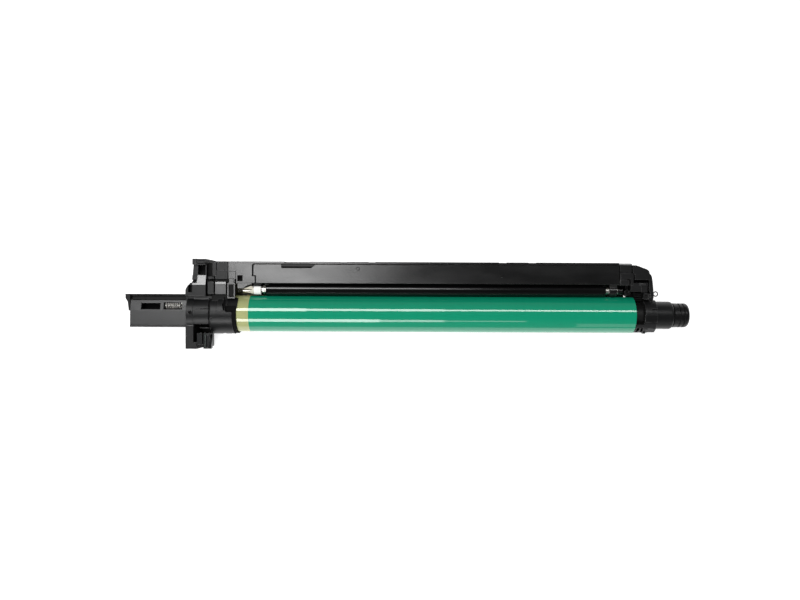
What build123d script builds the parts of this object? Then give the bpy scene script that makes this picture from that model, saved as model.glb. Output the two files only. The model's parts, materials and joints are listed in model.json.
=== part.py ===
from build123d import *
import math
import os

# Drum unit of a compact colour copier, lying with its drum face up. All sizes are in millimetres.
# X runs along the drum axis to the driven rear end, Y towards the waste housing, Z up.
# The origin is on the drum axis, at the shoulder of the rear spigot.

# Clearances and seams
running_gap = 0.05    # between a pin and its bush, all round
slide_gap = 0.2       # between a slider and its guide
soft_gap = 0.25       # between a soft or rolling face and what it runs on
seam = 0.6            # the line that shows between two mouldings
seat_gap = 0.1        # where one moulding sits in another

# Drum
drum_radius = 15.0
tube_wall = 0.8
tube_inset = 3.8      # how far the tube reaches past the front seam
tube_into_cap = 1.8   # how far the tube's rear end reaches into the rear cap
flange_plug = 10.0    # how deep a flange is pressed into the tube
flange_wall = 2.0
flange_hub_radius = 7.0
neck_radius = 10.0    # the smooth neck between the tube and the drum's gear
pin_radius = 4.0
shaft_radius = 7.0    # the rear flange's hollow shaft
shaft_bore = 2.5

# Lengths of the mouldings along the axis
rear_cap_length = 19.4
rear_frame_length = 12.2
housing_length = 318.4
front_frame_length = 13.4
collar_length = 14.5    # front cap, from its plate to the front seam
plate_thickness = 6.4
duct_length = 52.7
spigot_length = 15.0
coupling_length = 13.0

# Heights
floor_z = -20.0
deck_z = 13.0         # top of the housing, its cover and the rear mouldings
pad_z = 15.2          # top of the raised pads on the front mouldings
cap_top_z = 16.0
rail_height = 1.0     # the rails under the housing that it rests on

# Housing section
wall = 1.7
back_y = 42.6
back_step = 1.5       # how far the lower back wall is set in behind its ribs
back_step_z = 4.0
cover_front_y = 25.0
cover_thickness = 1.6
cover_groove = 0.5
ledge_depth = 2.4
shelf_front_y = 26.8
shelf_z = -1.4
shelf_thickness = 1.6
lip_y = 5.2
lip_z = -16.4
floor_thickness = 2.2
auger_y = 31.4
auger_z = -9.8
auger_radius = 5.8
trough_radius = 6.6
rib_pitch = 30.0
rib_thickness = 1.5
deck_length = 19.5    # the housing's fixed deck, in front of the cover

# Charge roller, its cleaning roller and their bearings, on one line through the drum axis
charge_angle = 10.0
charge_radius = 5.0
charge_shaft_radius = 3.0
cleaner_radius = 3.4
cleaner_shaft_radius = 2.0
charge_front_gap = 29.6   # from the housing's front end to the rubber
charge_rear_gap = 9.3     # from the rubber to the housing's rear end
bearing_radius = 4.8
bearing_width = 6.0
bearing_half = 3.6
bearing_tail = 4.2        # from the cleaning roller's axis to the bearing's back
bearing_front_gap = 19.8  # from the housing's front end to the front bearing
bearing_rear_gap = 0.2
fork_length = 9.0
fork_gap = 1.6
shaft_front_stub = 9.5    # the shaft past the front bearing
shaft_rear_stub = 5.5

# Cleaning blade
blade_screw_radius = 1.25
blade_screw_head = 2.7
blade_contact = -50.0     # where its edge meets the drum, in degrees from +Y
blade_tilt = 18.0
blade_thickness = 2.0
blade_free = 6.5
blade_bonded = 5.5
blade_end_gap = 11.0      # from the housing's ends to the blade
bracket_thickness = 1.2
bracket_length = 10.0
bracket_leg = 4.6
bracket_end_gap = 1.0
boss_length = 8.5
film_thickness = 0.3

# Gear train
gear_module = 0.8
drum_teeth = 28
idler_teeth = 22
auger_teeth = 14
gear_width = 5.0
auger_gear_width = 4.0
idler_seam_gap = 1.9      # from the rear cap's seam to the idler and the auger's gear
gear_spread = 0.1         # added to each centre distance
backlash = 0.14
gear_from_datum = 5.6     # from the gears' rear faces to the spigot's shoulder
axle_radius = 2.5

# Auger
auger_shaft_radius = 2.2
auger_pitch = 18.0
flight_thickness = 1.3

# Front side
collar_outer = 16.8
collar_inner = 15.7
collar_overlap = 3.6      # how far the front frame's collar reaches over the housing's end
felt_width = 3.2
felt_lining = 4.5         # how far the felt runs on under the collar
collar_lead = 1.2         # how far the collar's seam lies in front of the front seam
collar_void_y = -8.6      # below this the front cap's collar is open
foot_y = -28.8
cap_back_y = 44.5
cap_hub_radius = 8.0
cap_back_rim = 4.8        # depth of the raised rim along the front cap's back
cap_tongue = 1.6          # how far the front cap's pad reaches beside the frame's
collar_split_y = 1.2      # the upper edge of the collar's long half
pad_front_y = 15.8
pad_back_y = 26.0
loop_inset = -0.7         # the snap loop's front end, from the housing's front end
loop_length = 6.4
loop_reach = 12.8
loop_rim = 1.3
foot_top_z = 14.3
foot_floor_z = -12.0
chip_from_plate = 3.0
chip_length = 13.0
chip_shelf = 6.0          # how far the foot's shelf reaches under the chip holder
chip_back_y = -15.9
board_thickness = 0.8

# Discharge duct with its shutter
duct_front_y = -11.4
duct_crease_y = 2.1
duct_ledge_y = 10.7
duct_back_y = 15.9
duct_top_z = 7.0
duct_ledge_z = 0.6
duct_floor_z = -9.0
duct_wall = 1.8
slot_low_y = 3.3
slot_high_y = 8.3
spring_slot = 15.2
finger_slot = 15.6
slot_bridge = 2.8
spring_slot_from_plate = 5.1
shutter_travel = 7.0
port_length = 6.4
port_width = 8.0
shutter_thickness = 1.4
spring_radius = 2.3
spring_wire = 0.32
spring_turns = 9
spring_y = 6.1
spring_z = 5.6
shutter_link = 4.0

# Rear side
ring_outer = 14.5
ring_inner = 12.6
sleeve_outer = 13.0
spigot_radius = 11.4
bush_wall = 1.5
coupling_radius = 10.0
socket_radius = 4.5
socket_depth = 8.0
socket_slot = 2.0
rear_wall = 2.0
rim_end = 3.2             # from the spigot's shoulder to the rear cap's rim
hood_wall = 1.6
arm_z = 9.6               # underside of the rear frame's arm over the gears
low_split_z = 8.8         # above this the rear cap is only a hood and a rim
frame_front_y = 17.0      # where the rear frame's lower body and the gear chamber's wall begin
rim_front_y = -14.0       # where the rear cap's rim wall begins
gear_floor_y = 20.0       # how far the floor under the gears reaches back
loop_radius = 1.8
loop_wire = 0.42
loop_x = -1.1
wire_y = 17.5
wire_z = 10.2

# Screws that hold the end mouldings on, as places across the axis
screw_radius = 1.4
screw_head_radius = 2.6
screw_seat = 3.0          # material under the screw's head
screw_bite = 7.0          # how deep it goes into the housing
screw_boss = 3.0
front_screw_places = [(35.0, 0.4), (38.4, -16.5)]
rear_screw_places = [(35.0, 0.4), (22.0, -15.4)]

# Places along the axis, worked out from the rear datum
x_cap_seam = -rear_cap_length
x_housing_rear = x_cap_seam - rear_frame_length
x_housing_front = x_housing_rear - housing_length
x_front_seam = x_housing_front - front_frame_length
x_plate_rear = x_front_seam - collar_length
x_plate_front = x_plate_rear - plate_thickness
x_duct_tip = x_plate_front - duct_length
x_tube_front = x_front_seam + tube_inset
x_tube_rear = x_cap_seam + tube_into_cap
x_collar_end = x_housing_front + collar_overlap
x_collar_seam = x_front_seam - collar_lead
x_auger_seat = x_plate_rear - 0.2
x_gear_rear = -gear_from_datum
x_gear_front = x_gear_rear - gear_width
x_idler_front = x_cap_seam + idler_seam_gap
tube_bore = drum_radius - tube_wall

# Places across the axis
charge_at = drum_radius + charge_radius + soft_gap
cleaner_at = charge_at + charge_radius + cleaner_radius + soft_gap
bearing_back = cleaner_at + bearing_tail
trough_floor = floor_z + rail_height + floor_thickness


def block(x0, x1, y0, y1, z0, z1):
    """A block between two corners."""
    return Pos((x0 + x1) / 2, (y0 + y1) / 2, (z0 + z1) / 2) * Box(abs(x1 - x0), abs(y1 - y0), abs(z1 - z0))


def rod(radius, x0, x1, y=0.0, z=0.0):
    """A cylinder along X."""
    return Pos((x0 + x1) / 2, y, z) * Rot(0, 90, 0) * Cylinder(radius, abs(x1 - x0))


def tube(outer, inner, x0, x1, y=0.0, z=0.0):
    """A hollow cylinder along X."""
    return rod(outer, x0, x1, y, z) - rod(inner, x0 - 1, x1 + 1, y, z)


def along(section, x0, x1):
    """A section drawn in Y and Z, drawn out along X."""
    return extrude(Plane.YZ.offset(x0) * section, x1 - x0, dir=(1, 0, 0))


def upright(shape, z0, z1):
    """An outline drawn in X and Y, drawn out along Z."""
    return extrude(Plane.XY.offset(z0) * shape, z1 - z0, dir=(0, 0, 1))


def outline(*points):
    """A closed flat outline through its points."""
    return Polygon(*points, align=None)


def curved_outline(corners, curve):
    """A closed flat outline: straight sides through its corners, closed by one smooth curve."""
    return make_face(Polyline(curve[-1], *corners, curve[0]) + Spline(*curve))


def seam_cut(core, x0, x1):
    """The groove of a seam, cut all round outside a core section."""
    return along(Rectangle(200, 200) - core, x0, x1)


def on_charge_line(part):
    """Turns a part drawn with the charge line along Y to its real angle."""
    return Rot(charge_angle, 0, 0) * part


def on_blade(part):
    """Puts a part drawn with the blade's edge at the origin and its length along Y at the drum."""
    angle = math.radians(blade_contact)
    return Pos(0, drum_radius * math.cos(angle), drum_radius * math.sin(angle)) * Rot(blade_tilt, 0, 0) * part


def save(part, name):
    export_step(part, f"parts/{name}.step")


# Drum

def drum_tube():
    return tube(drum_radius, tube_bore, x_tube_front, x_tube_rear)


def front_flange():
    lip = 1.5
    web = 3.0
    x_plug = x_tube_front + flange_plug
    plug = tube(tube_bore, tube_bore - flange_wall, x_tube_front, x_plug)
    face = rod(drum_radius, x_tube_front - lip, x_tube_front) + rod(tube_bore, x_tube_front, x_tube_front + web)
    hub = rod(flange_hub_radius, x_tube_front - lip, x_plug)
    part = plug + face + hub
    for turn in range(6):
        part += Rot(60 * turn, 0, 0) * block(
            x_tube_front, x_plug - 2, flange_hub_radius - 1, tube_bore - 1, -0.6, 0.6)
    return part - rod(pin_radius + running_gap, x_tube_front - lip - 1, x_plug + 1)


def drum_pin():
    """The steel pin in the front cap's hub that the drum turns on."""
    pin = rod(pin_radius, x_plate_rear, x_tube_front + flange_plug + 1.0)
    return chamfer(pin.edges().sort_by(Axis.X)[-1], 0.6)


def earth_plate():
    """A sprung steel disc in the tube that brings the tube's earth to the pin."""
    start = x_tube_front + flange_plug + 0.1
    disc = rod(tube_bore - 0.05, start, start + 0.4) - rod(pin_radius + 1.2, start - 1, start + 1)
    for turn in range(3):
        disc += Rot(120 * turn, 0, 0) * block(start, start + 0.4, pin_radius + running_gap, pin_radius + 2, -1, 1)
        disc -= Rot(120 * turn + 60, 0, 0) * block(start - 1, start + 1, 8, 12.5, -2.5, 2.5)
    return disc


def flank_angle(base, half_at_pitch, pitch, radius):
    """Half the angle that an involute tooth takes up at a radius."""
    def involute(at):
        pressure = math.acos(min(1.0, base / at))
        return math.tan(pressure) - pressure
    return half_at_pitch + involute(pitch) - involute(max(radius, base))


def gear_section(teeth, phase):
    """An involute gear's outline, with a tooth centred at the phase, in degrees from +Y."""
    pitch = gear_module * teeth / 2
    base = pitch * math.cos(math.radians(20))
    tip = pitch + 0.95 * gear_module
    root = pitch - 1.2 * gear_module
    half = math.pi / (2 * teeth) - backlash / (4 * pitch)
    start = max(base, root)
    middle = (start + tip) / 2
    lines = []
    for tooth in range(teeth):
        centre = math.radians(phase) + 2 * math.pi * tooth / teeth
        after = centre + 2 * math.pi / teeth

        def at(radius, turn):
            return (radius * math.cos(turn), radius * math.sin(turn))
        low, mid, high = (flank_angle(base, half, pitch, r) for r in (start, middle, tip))
        if start > root:
            lines.append(Line(at(root, centre - low), at(start, centre - low)))
            lines.append(Line(at(start, centre + low), at(root, centre + low)))
        lines.append(ThreePointArc(at(start, centre - low), at(middle, centre - mid), at(tip, centre - high)))
        lines.append(Line(at(tip, centre - high), at(tip, centre + high)))
        lines.append(ThreePointArc(at(tip, centre + high), at(middle, centre + mid), at(start, centre + low)))
        lines.append(Line(at(root, centre + low), at(root, after - low)))
    return make_face(Curve() + lines)


def centre_distance(teeth_a, teeth_b):
    return gear_module * (teeth_a + teeth_b) / 2 + gear_spread


def idler_centre():
    """Where the idler meshes with both the drum's gear and the auger's gear."""
    reach = math.hypot(auger_y, auger_z)
    first = centre_distance(drum_teeth, idler_teeth)
    second = centre_distance(idler_teeth, auger_teeth)
    bend = (first ** 2 + reach ** 2 - second ** 2) / (2 * first * reach)
    angle = math.atan2(auger_z, auger_y) + math.acos(min(1.0, bend))
    return first * math.cos(angle), first * math.sin(angle)


def meshing_phase(phase, teeth, line, other_teeth):
    """The phase of a gear that meshes with one of a given phase, the line between them given in degrees."""
    return line + 180 + 180 / other_teeth - (phase - line) * teeth / other_teeth


def gear_phases():
    """Phases of the drum's, idler's and auger's gears at rest."""
    idler_y, idler_z = idler_centre()
    to_idler = math.degrees(math.atan2(idler_z, idler_y))
    to_auger = math.degrees(math.atan2(auger_z - idler_z, auger_y - idler_y))
    drum_phase = to_idler
    idler_phase = meshing_phase(drum_phase, drum_teeth, to_idler, idler_teeth)
    auger_phase = meshing_phase(idler_phase, idler_teeth, to_auger, auger_teeth)
    return drum_phase, idler_phase, auger_phase


def rear_flange():
    """The driven flange: plug, smooth neck, gear and hollow shaft in one moulding."""
    x_plug = x_tube_rear - flange_plug
    plug = tube(tube_bore, tube_bore - flange_wall, x_plug, x_tube_rear)
    web = rod(tube_bore, x_tube_rear - 3, x_tube_rear)
    neck = rod(neck_radius, x_tube_rear - 1, x_gear_front)
    gear = along(gear_section(drum_teeth, gear_phases()[0]), x_gear_front, x_gear_rear)
    shaft = rod(shaft_radius, x_plug, spigot_length + 3)
    part = plug + web + neck + gear + shaft
    for turn in range(6):
        part += Rot(60 * turn + 30, 0, 0) * block(
            x_plug + 2, x_tube_rear, shaft_radius - 1, tube_bore - 1, -0.6, 0.6)
    return part - rod(shaft_bore, x_plug - 1, spigot_length + 4)


def drive_coupling():
    """The grooved nose on the flange's shaft, with a socket for the drive dog."""
    x0 = spigot_length + 0.4
    x1 = spigot_length + coupling_length
    nose = rod(coupling_radius, x0, x1)
    nose = fillet(nose.edges().sort_by(Axis.X)[-1], 2.6)
    for at in (4.0, 7.4):
        nose -= tube(coupling_radius + 1, coupling_radius - 0.9, x0 + at, x0 + at + 0.9)
    nose -= rod(shaft_radius, x0 - 1, spigot_length + 3)
    socket = rod(socket_radius, x1 - socket_depth, x1 + 1)
    for turn in range(3):
        socket += Rot(120 * turn + 90, 0, 0) * block(
            x1 - socket_depth, x1 + 1, 0, socket_radius + 2.2, -socket_slot / 2, socket_slot / 2)
    return nose - socket


# Housing

def trough_section():
    """The hollow that the auger runs in, open to the drum over its lip."""
    low = trough_floor
    mouth = Pos((lip_y + wall + auger_y) / 2, (low + shelf_z - shelf_thickness) / 2) * Rectangle(
        auger_y - lip_y - wall, shelf_z - shelf_thickness - low)
    side = Pos(auger_y, (auger_z + shelf_z - shelf_thickness) / 2) * Rectangle(
        2 * trough_radius, shelf_z - shelf_thickness - auger_z)
    return mouth + side + Pos(auger_y, auger_z) * Circle(trough_radius)


def housing_section():
    low = floor_z + rail_height
    lower_back = back_y - back_step
    lower = outline((lip_y, low), (lower_back, low), (lower_back, shelf_z), (lip_y, shelf_z))
    above_lip = outline((lip_y - 1, lip_z), (lip_y + wall, lip_z), (lip_y + wall, trough_floor),
                        (shelf_front_y, trough_floor), (shelf_front_y, shelf_z + 1), (lip_y - 1, shelf_z + 1))
    back = outline((lower_back - wall, shelf_z), (lower_back, shelf_z), (lower_back, back_step_z),
                   (back_y, back_step_z + back_step), (back_y, deck_z), (back_y - wall, deck_z),
                   (back_y - wall, back_step_z + back_step + 1), (lower_back - wall, back_step_z + 1))
    return lower - trough_section() - above_lip + back


def cover_back():
    return back_y - wall - cover_groove


def charge_guides(x0, x1):
    """The two rails that a charge bearing slides between, with the wall that its spring pushes on."""
    under = deck_z - cover_thickness - 0.4
    frame = block(x0, x1, shelf_front_y + 1.0, back_y - wall, shelf_z, under)
    slot_half = bearing_half + slide_gap
    slot = on_charge_line(block(x0 - 1, x1 + 1, 10, spring_seat(), -slot_half, slot_half))
    return frame - slot


def spring_seat():
    """How far along the charge line the springs' seats lie."""
    return (back_y - wall - 1.6) / math.cos(math.radians(charge_angle))


def blade_boss(x0, x1):
    """A boss that carries one end of the blade's bracket, standing on the trough's floor."""
    top = on_blade(block(x0, x1, blade_free + 0.5, blade_free + bracket_length, -6, 0))
    column = block(x0, x1, 17.6, 25.4, trough_floor - 0.5, -9.4)
    return top + column - rod(trough_radius, x0 - 1, x1 + 1, auger_y, auger_z)


def blade_screw_places():
    """The bracket's screws, each as X and the distance from the blade's edge."""
    inset = boss_length / 2
    return [(x_housing_front + inset + bracket_end_gap, blade_free + 5),
            (x_housing_rear - inset - bracket_end_gap, blade_free + 5)]


def bearing_spans():
    """Start and end of the front and the rear charge bearing."""
    front = x_housing_front + bearing_front_gap
    rear = x_housing_rear - bearing_rear_gap
    return [(front, front + bearing_width), (rear - bearing_width, rear)]


def snap_loop():
    """The loop at the deck's front corner that hooks over a tooth of the front frame."""
    x0 = x_housing_front + loop_inset
    x1 = x0 + loop_length
    y1 = cover_front_y + 0.1
    y0 = y1 - loop_reach
    z0 = deck_z - 1.4
    loop = block(x0, x1, y0, y1, z0, deck_z + 0.4)
    loop -= block(x0 + loop_rim, x1 - loop_rim, y0 + loop_rim, y1 - loop_rim, z0 - 1, deck_z + 2)
    return loop + block(x0 + 1.4, x1 - 1.4, y1 - 1.0, y1 + 3.4, z0, deck_z + 0.4)


def front_deck():
    """The fixed deck in front of the cover, with its chamfered step, its hole and raised pads."""
    x0 = x_housing_front
    x1 = x0 + deck_length
    y0 = cover_front_y
    z0 = deck_z - cover_thickness
    edge = outline((x0, y0 + 3.2), (x0 + 1.6, y0 + 3.2), (x0 + 1.6, y0), (x0 + 5.2, y0), (x0 + 5.2, y0 + 3.2),
                   (x0 + 6.4, y0 + 3.2), (x0 + 6.4, y0), (x1 + 2.2, y0), (x1 + 2.2, y0 + 5.6), (x1, y0 + 5.6),
                   (x1, back_y - 2.6), (x1 + 1.4, back_y - 1.2), (x1 + 1.4, back_y - 0.5), (x0, back_y - 0.5))
    deck = upright(edge, z0, deck_z)
    deck -= block(x0 + 7.6, x0 + 11.6, y0 + 1.6, y0 + 6.2, z0 - 1, deck_z + 1)
    deck += block(x0 + 0.4, x0 + 6.2, y0 + 3.6, y0 + 9.4, deck_z - 1, deck_z + 0.7)
    deck += block(x0, x0 + wall, shelf_front_y + 1.0, back_y - wall, shelf_z, z0 + 0.1)
    # A tapered gusset under the deck's front edge, beside the charge roller's end
    gusset = outline((x0 + 7.4, y0 + 0.8), (x0 + 7.4, y0 - 4.4), (x0 + 12.0, y0 - 4.4), (x0 + 14.4, y0 - 2.4),
                     (x0 + 19.0, y0 - 0.8), (x0 + 19.0, y0 + 0.8))
    deck += upright(gusset, z0 - 1.0, z0 + 0.2)
    return deck + snap_loop()


def back_ribs():
    ribs = []
    count = int((housing_length - 2 * rib_pitch / 2) // rib_pitch) + 1
    start = (x_housing_front + x_housing_rear) / 2 - (count - 1) * rib_pitch / 2
    for number in range(count):
        x = start + number * rib_pitch
        ribs.append(block(x - rib_thickness / 2, x + rib_thickness / 2, back_y - back_step - 0.5, back_y,
                          floor_z + rail_height + 2, back_step_z + back_step / 2))
    return ribs


def catch_notches():
    """The notches in the back rim, each as its distance from the housing's front end, length and depth."""
    return [(91.1, 5.3, 0.9), (114.4, 5.4, 0.9), (220.5, 6.2, 0.9), (244.6, 6.2, 0.9)]


def cleaner_housing():
    x0 = x_housing_front
    x1 = x_housing_rear
    part = along(housing_section(), x0, x1)
    ledge = outline((back_y - wall - ledge_depth, deck_z - cover_thickness), (back_y - wall + 0.1, deck_z - cover_thickness),
                    (back_y - wall + 0.1, deck_z - cover_thickness - ledge_depth - 0.6))
    part += along(ledge, x0 + deck_length - 2, x1)
    for rail_y in (12.0, 37.0):
        part += block(x0 + 2, x1 - 2, rail_y - 1, rail_y + 1, floor_z, floor_z + rail_height + 0.1)
    part += front_deck()
    for start, end in bearing_spans():
        part += charge_guides(start, end)
    part += blade_boss(x0 + bracket_end_gap, x0 + bracket_end_gap + boss_length)
    part += blade_boss(x1 - bracket_end_gap - boss_length, x1 - bracket_end_gap)
    for rib in back_ribs():
        part += rib
    for start, length, depth in catch_notches():
        part -= block(x0 + start, x0 + start + length, back_y - depth, back_y + 1, back_step_z + back_step + 2, deck_z + 1)
    # The wide recess in the back rim beside the cover's notch
    part -= block(x0 + 45.9, x0 + 66.3, back_y - 1.2, back_y + 1, back_step_z + back_step + 2, deck_z + 1)
    for x, reach in blade_screw_places():
        part -= Pos(x, 0, 0) * on_blade(Pos(0, reach, -2.5) * Cylinder(blade_screw_radius, 6))
    # Bosses for the long screws that pull the end mouldings on
    for end, inward, places in ((x0, 1, front_screw_places), (x1, -1, rear_screw_places)):
        for y, z in places:
            outer = min(y + screw_boss, back_y - back_step - 0.2)
            part += block(end, end + inward * boss_length, y - screw_boss, outer, z - 2, z + 1.2)
            part -= rod(screw_radius, end - inward, end + inward * screw_bite, y, z)
    return part


def top_cover():
    """The flat cover over the charge channel, with a notch in its back edge and a stepped front corner."""
    x0 = x_housing_front + deck_length + seam
    x1 = x_housing_rear
    y0 = cover_front_y
    y1 = cover_back()
    z0 = deck_z - cover_thickness
    notch = x_housing_front + 43.4
    step = 2.4
    edge = outline((x0 + step, y0), (x1, y0), (x1, y1), (notch + 27.6, y1), (notch + 24.0, y1 - 2.9),
                   (notch, y1 - 2.9), (notch, y1), (x0 + 1.6, y1), (x0, y1 - 1.6), (x0, y0 + 5.6 + seam),
                   (x0 + step, y0 + 5.6 + seam))
    plate = upright(edge, z0, deck_z)
    flange = block(x0 + step + 10, x1, y0, y0 + 1.1, z0 - 1.3, z0 + 0.1)
    lamp = Pos(x_housing_front + 105.6, 37.0, deck_z - 0.1) * Sphere(1.5)
    pip = Pos(x_housing_front + 223.2, 31.1, deck_z) * Sphere(0.9)
    domes = (lamp + pip) & block(x0, x1, y0, y1, deck_z - 1, deck_z + 0.8)
    return plate + flange + domes


# Charge roller group

def charge_span():
    return x_housing_front + charge_front_gap, x_housing_rear - charge_rear_gap


def charge_roller():
    x0, x1 = charge_span()
    sleeve = rod(charge_radius, x0, x1) - rod(charge_shaft_radius, x0 - 1, x1 + 1)
    rims = sleeve.edges().filter_by(GeomType.CIRCLE).filter_by(lambda rim: rim.radius > charge_radius - 0.1)
    sleeve = chamfer(rims, 0.5)
    return on_charge_line(Pos(0, charge_at, 0) * sleeve)


def charge_shaft():
    front, rear = bearing_spans()
    shaft = rod(charge_shaft_radius, front[0] - shaft_front_stub, rear[1] + shaft_rear_stub)
    shaft = chamfer(shaft.edges().filter_by(GeomType.CIRCLE), 0.5)
    x0, x1 = charge_span()
    # A thin retaining ring outside the rubber's front end
    shaft += tube(charge_shaft_radius + 0.7, charge_shaft_radius - 0.5, x0 - 1.9, x0 - 1.1)
    return on_charge_line(Pos(0, charge_at, 0) * shaft)


def cleaning_roller():
    """The foam sleeve that keeps the charge roller clean."""
    x0, x1 = charge_span()
    return on_charge_line(Pos(0, cleaner_at, 0) * tube(cleaner_radius, cleaner_shaft_radius, x0 + 2, x1 - 2))


def cleaning_shaft():
    front, rear = bearing_spans()
    return on_charge_line(Pos(0, cleaner_at, 0) * rod(cleaner_shaft_radius, front[0] + 0.8, rear[1] - 0.8))


def charge_bearing(x0, x1):
    """A sliding bearing with one bore for the charge roller and one for its cleaning roller."""
    part = rod(bearing_radius, x0, x1, charge_at)
    part += block(x0, x1, charge_at, bearing_back, -bearing_half, bearing_half)
    part += rod(1.3, x0, x1, bearing_back - 1.0)
    part -= rod(charge_shaft_radius + running_gap, x0 - 1, x1 + 1, charge_at)
    part -= rod(cleaner_shaft_radius + running_gap, x0 - 1, x1 + 1, cleaner_at)
    return on_charge_line(part)


def roller_clip():
    """The forked clip that holds the front bearing on the shaft."""
    x1 = bearing_spans()[0][0]
    x0 = x1 - fork_length
    ring = tube(4.2, charge_shaft_radius + running_gap, x1 - 2.2, x1, charge_at)
    y = charge_at
    long_prong = outline((x0, y + 0.6), (x0 + 3.0, y + 2.4), (x1 - 2.2, y + 3.7), (x1 - 1, y + 3.2), (x1 - 1, y - 0.2), (x0 + 0.6, y - 0.2))
    short_prong = outline((x1 - 5.4, y - 2.0), (x1 - 1, y - 2.4), (x1 - 1, y - 1.2), (x1 - 5.4, y - 1.2))
    web = outline((x0 + 1.4, y - 0.4), (x0 + 3.2, y - 2.0), (x1 - 1, y - 2.2), (x1 - 1, y))
    prongs = upright(long_prong, -1.7, charge_shaft_radius + 0.9) + upright(short_prong, -1.7, charge_shaft_radius + 0.5)
    prongs += upright(web, -1.7, charge_shaft_radius - 0.4)
    prongs -= rod(charge_shaft_radius + running_gap, x0 - 1, x1 + 1, charge_at)
    return on_charge_line(ring + prongs)


def helix_spring(radius, wire, turns, length):
    """A compression spring along Z from the origin, with flat-wound end turns."""
    coil = Helix(pitch=length / turns, height=length, radius=radius)
    return sweep(Plane(origin=coil @ 0, z_dir=coil % 0) * RegularPolygon(wire, 8), path=coil, is_frenet=True)


def charge_spring(x0, x1):
    """The spring behind a charge bearing, along the charge line."""
    start = bearing_back + 0.3 + 0.4
    length = spring_seat() - 0.4 - start
    spring = Rot(-90, 0, 0) * helix_spring(2.4, 0.3, 5, length)
    return on_charge_line(Pos((x0 + x1) / 2, start, 0) * spring)


# Blade group

def blade_span():
    return x_housing_front + blade_end_gap, x_housing_rear - blade_end_gap


def cleaning_blade():
    x0, x1 = blade_span()
    return on_blade(block(x0, x1, soft_gap, blade_free + blade_bonded, -blade_thickness, 0))


def blade_bracket():
    """The bent steel bracket that the blade is bonded to."""
    x0 = x_housing_front + bracket_end_gap
    x1 = x_housing_rear - bracket_end_gap
    flat = block(x0, x1, blade_free, blade_free + bracket_length, 0, bracket_thickness)
    leg = block(x0 + boss_length + 2, x1 - boss_length - 2, blade_free + bracket_length - bracket_thickness,
                blade_free + bracket_length, 0, bracket_leg)
    part = flat + leg
    for x, reach in blade_screw_places():
        part -= Pos(x, reach, 0) * Cylinder(blade_screw_radius + 0.35, 2 * bracket_leg)
    return on_blade(part)


def blade_screws():
    """The two screws that hold the bracket's ends, as one group of separate solids."""
    screws = []
    for x, reach in blade_screw_places():
        head = Pos(x, reach, bracket_thickness + 0.9) * Cylinder(blade_screw_head, 1.8)
        cross = Pos(x, reach, bracket_thickness + 1.8) * (Box(0.6, 3, 1.2) + Box(3, 0.6, 1.2))
        shank = Pos(x, reach, (bracket_thickness - bracket_leg) / 2) * Cylinder(blade_screw_radius, bracket_leg + bracket_thickness)
        screws.append(on_blade(head - cross + shank))
    return Compound(children=screws)


def recovery_film():
    """The thin film along the lip, which keeps caught toner in the trough."""
    x0, x1 = blade_span()
    angle = math.radians(-74)
    reach = drum_radius + soft_gap
    tip = (reach * math.cos(angle), reach * math.sin(angle))
    strip = outline((lip_y, lip_z), (lip_y + wall, lip_z), (lip_y + wall, lip_z + film_thickness),
                    (lip_y + 0.3, lip_z + film_thickness), (tip[0] + 0.2, tip[1]), (tip[0] - 0.1, tip[1] - 0.05))
    return along(strip, x0, x1)


def end_seal(x0, x1):
    """A foam pad between the blade's end, the drum and the trough."""
    pad = outline((lip_y + wall, trough_floor), (15.6, trough_floor), (15.6, -10.6), (12.0, -11.6), (lip_y + wall, -13.0))
    pad = along(pad, x0, x1) - rod(drum_radius + soft_gap, x0 - 1, x1 + 1)
    return pad - on_blade(block(x0 - 1, x1 + 1, -2, 20, -blade_thickness - 0.1, 8))


# Auger and gears

def waste_auger():
    """The screw that moves caught toner to the front."""
    x0 = x_auger_seat + 0.2
    x1 = x_idler_front + auger_gear_width
    start = x_auger_seat + 2.8
    end = x_housing_rear - 3.0
    turns = max(3, round((end - start) / auger_pitch))
    inner = auger_shaft_radius - 0.6
    middle = (auger_radius + inner) / 2
    coil = Helix(pitch=auger_pitch, height=turns * auger_pitch, radius=middle)
    flight = Plane(origin=coil @ 0, x_dir=(1, 0, 0), z_dir=coil % 0) * Rectangle(auger_radius - inner, flight_thickness)
    screw = sweep(flight, path=coil, is_frenet=True)
    return Pos(0, auger_y, auger_z) * (rod(auger_shaft_radius, x0, x1) + Pos(start, 0, 0) * Rot(0, 90, 0) * screw)


def spoked_gear(teeth, phase, bore, x0, x1):
    """A gear with a hollowed rear face round its hub."""
    root = gear_module * teeth / 2 - 1.2 * gear_module
    part = along(gear_section(teeth, phase), x0, x1)
    part -= tube(root - 1.3, bore + 1.4, x1 - 1.4, x1 + 1)
    return part - rod(bore, x0 - 1, x1 + 1)


def auger_gear():
    gear = spoked_gear(auger_teeth, gear_phases()[2], auger_shaft_radius, x_idler_front, x_idler_front + auger_gear_width)
    return Pos(0, auger_y, auger_z) * gear


def idler_gear():
    """The wide idler, which meets the auger's gear at its front and the drum's gear at its rear."""
    y, z = idler_centre()
    return Pos(0, y, z) * spoked_gear(idler_teeth, gear_phases()[1], axle_radius + running_gap, x_idler_front, x_gear_rear)


# Front mouldings

def front_core():
    """What stays whole under the seams of the front mouldings."""
    body = outline((0, floor_z + 1.2), (back_y - back_step - 1.2, floor_z + 1.2), (back_y - back_step - 1.2, deck_z - 2.2),
                   (0, deck_z - 2.2))
    return body + Circle(collar_outer - 0.6)


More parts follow.
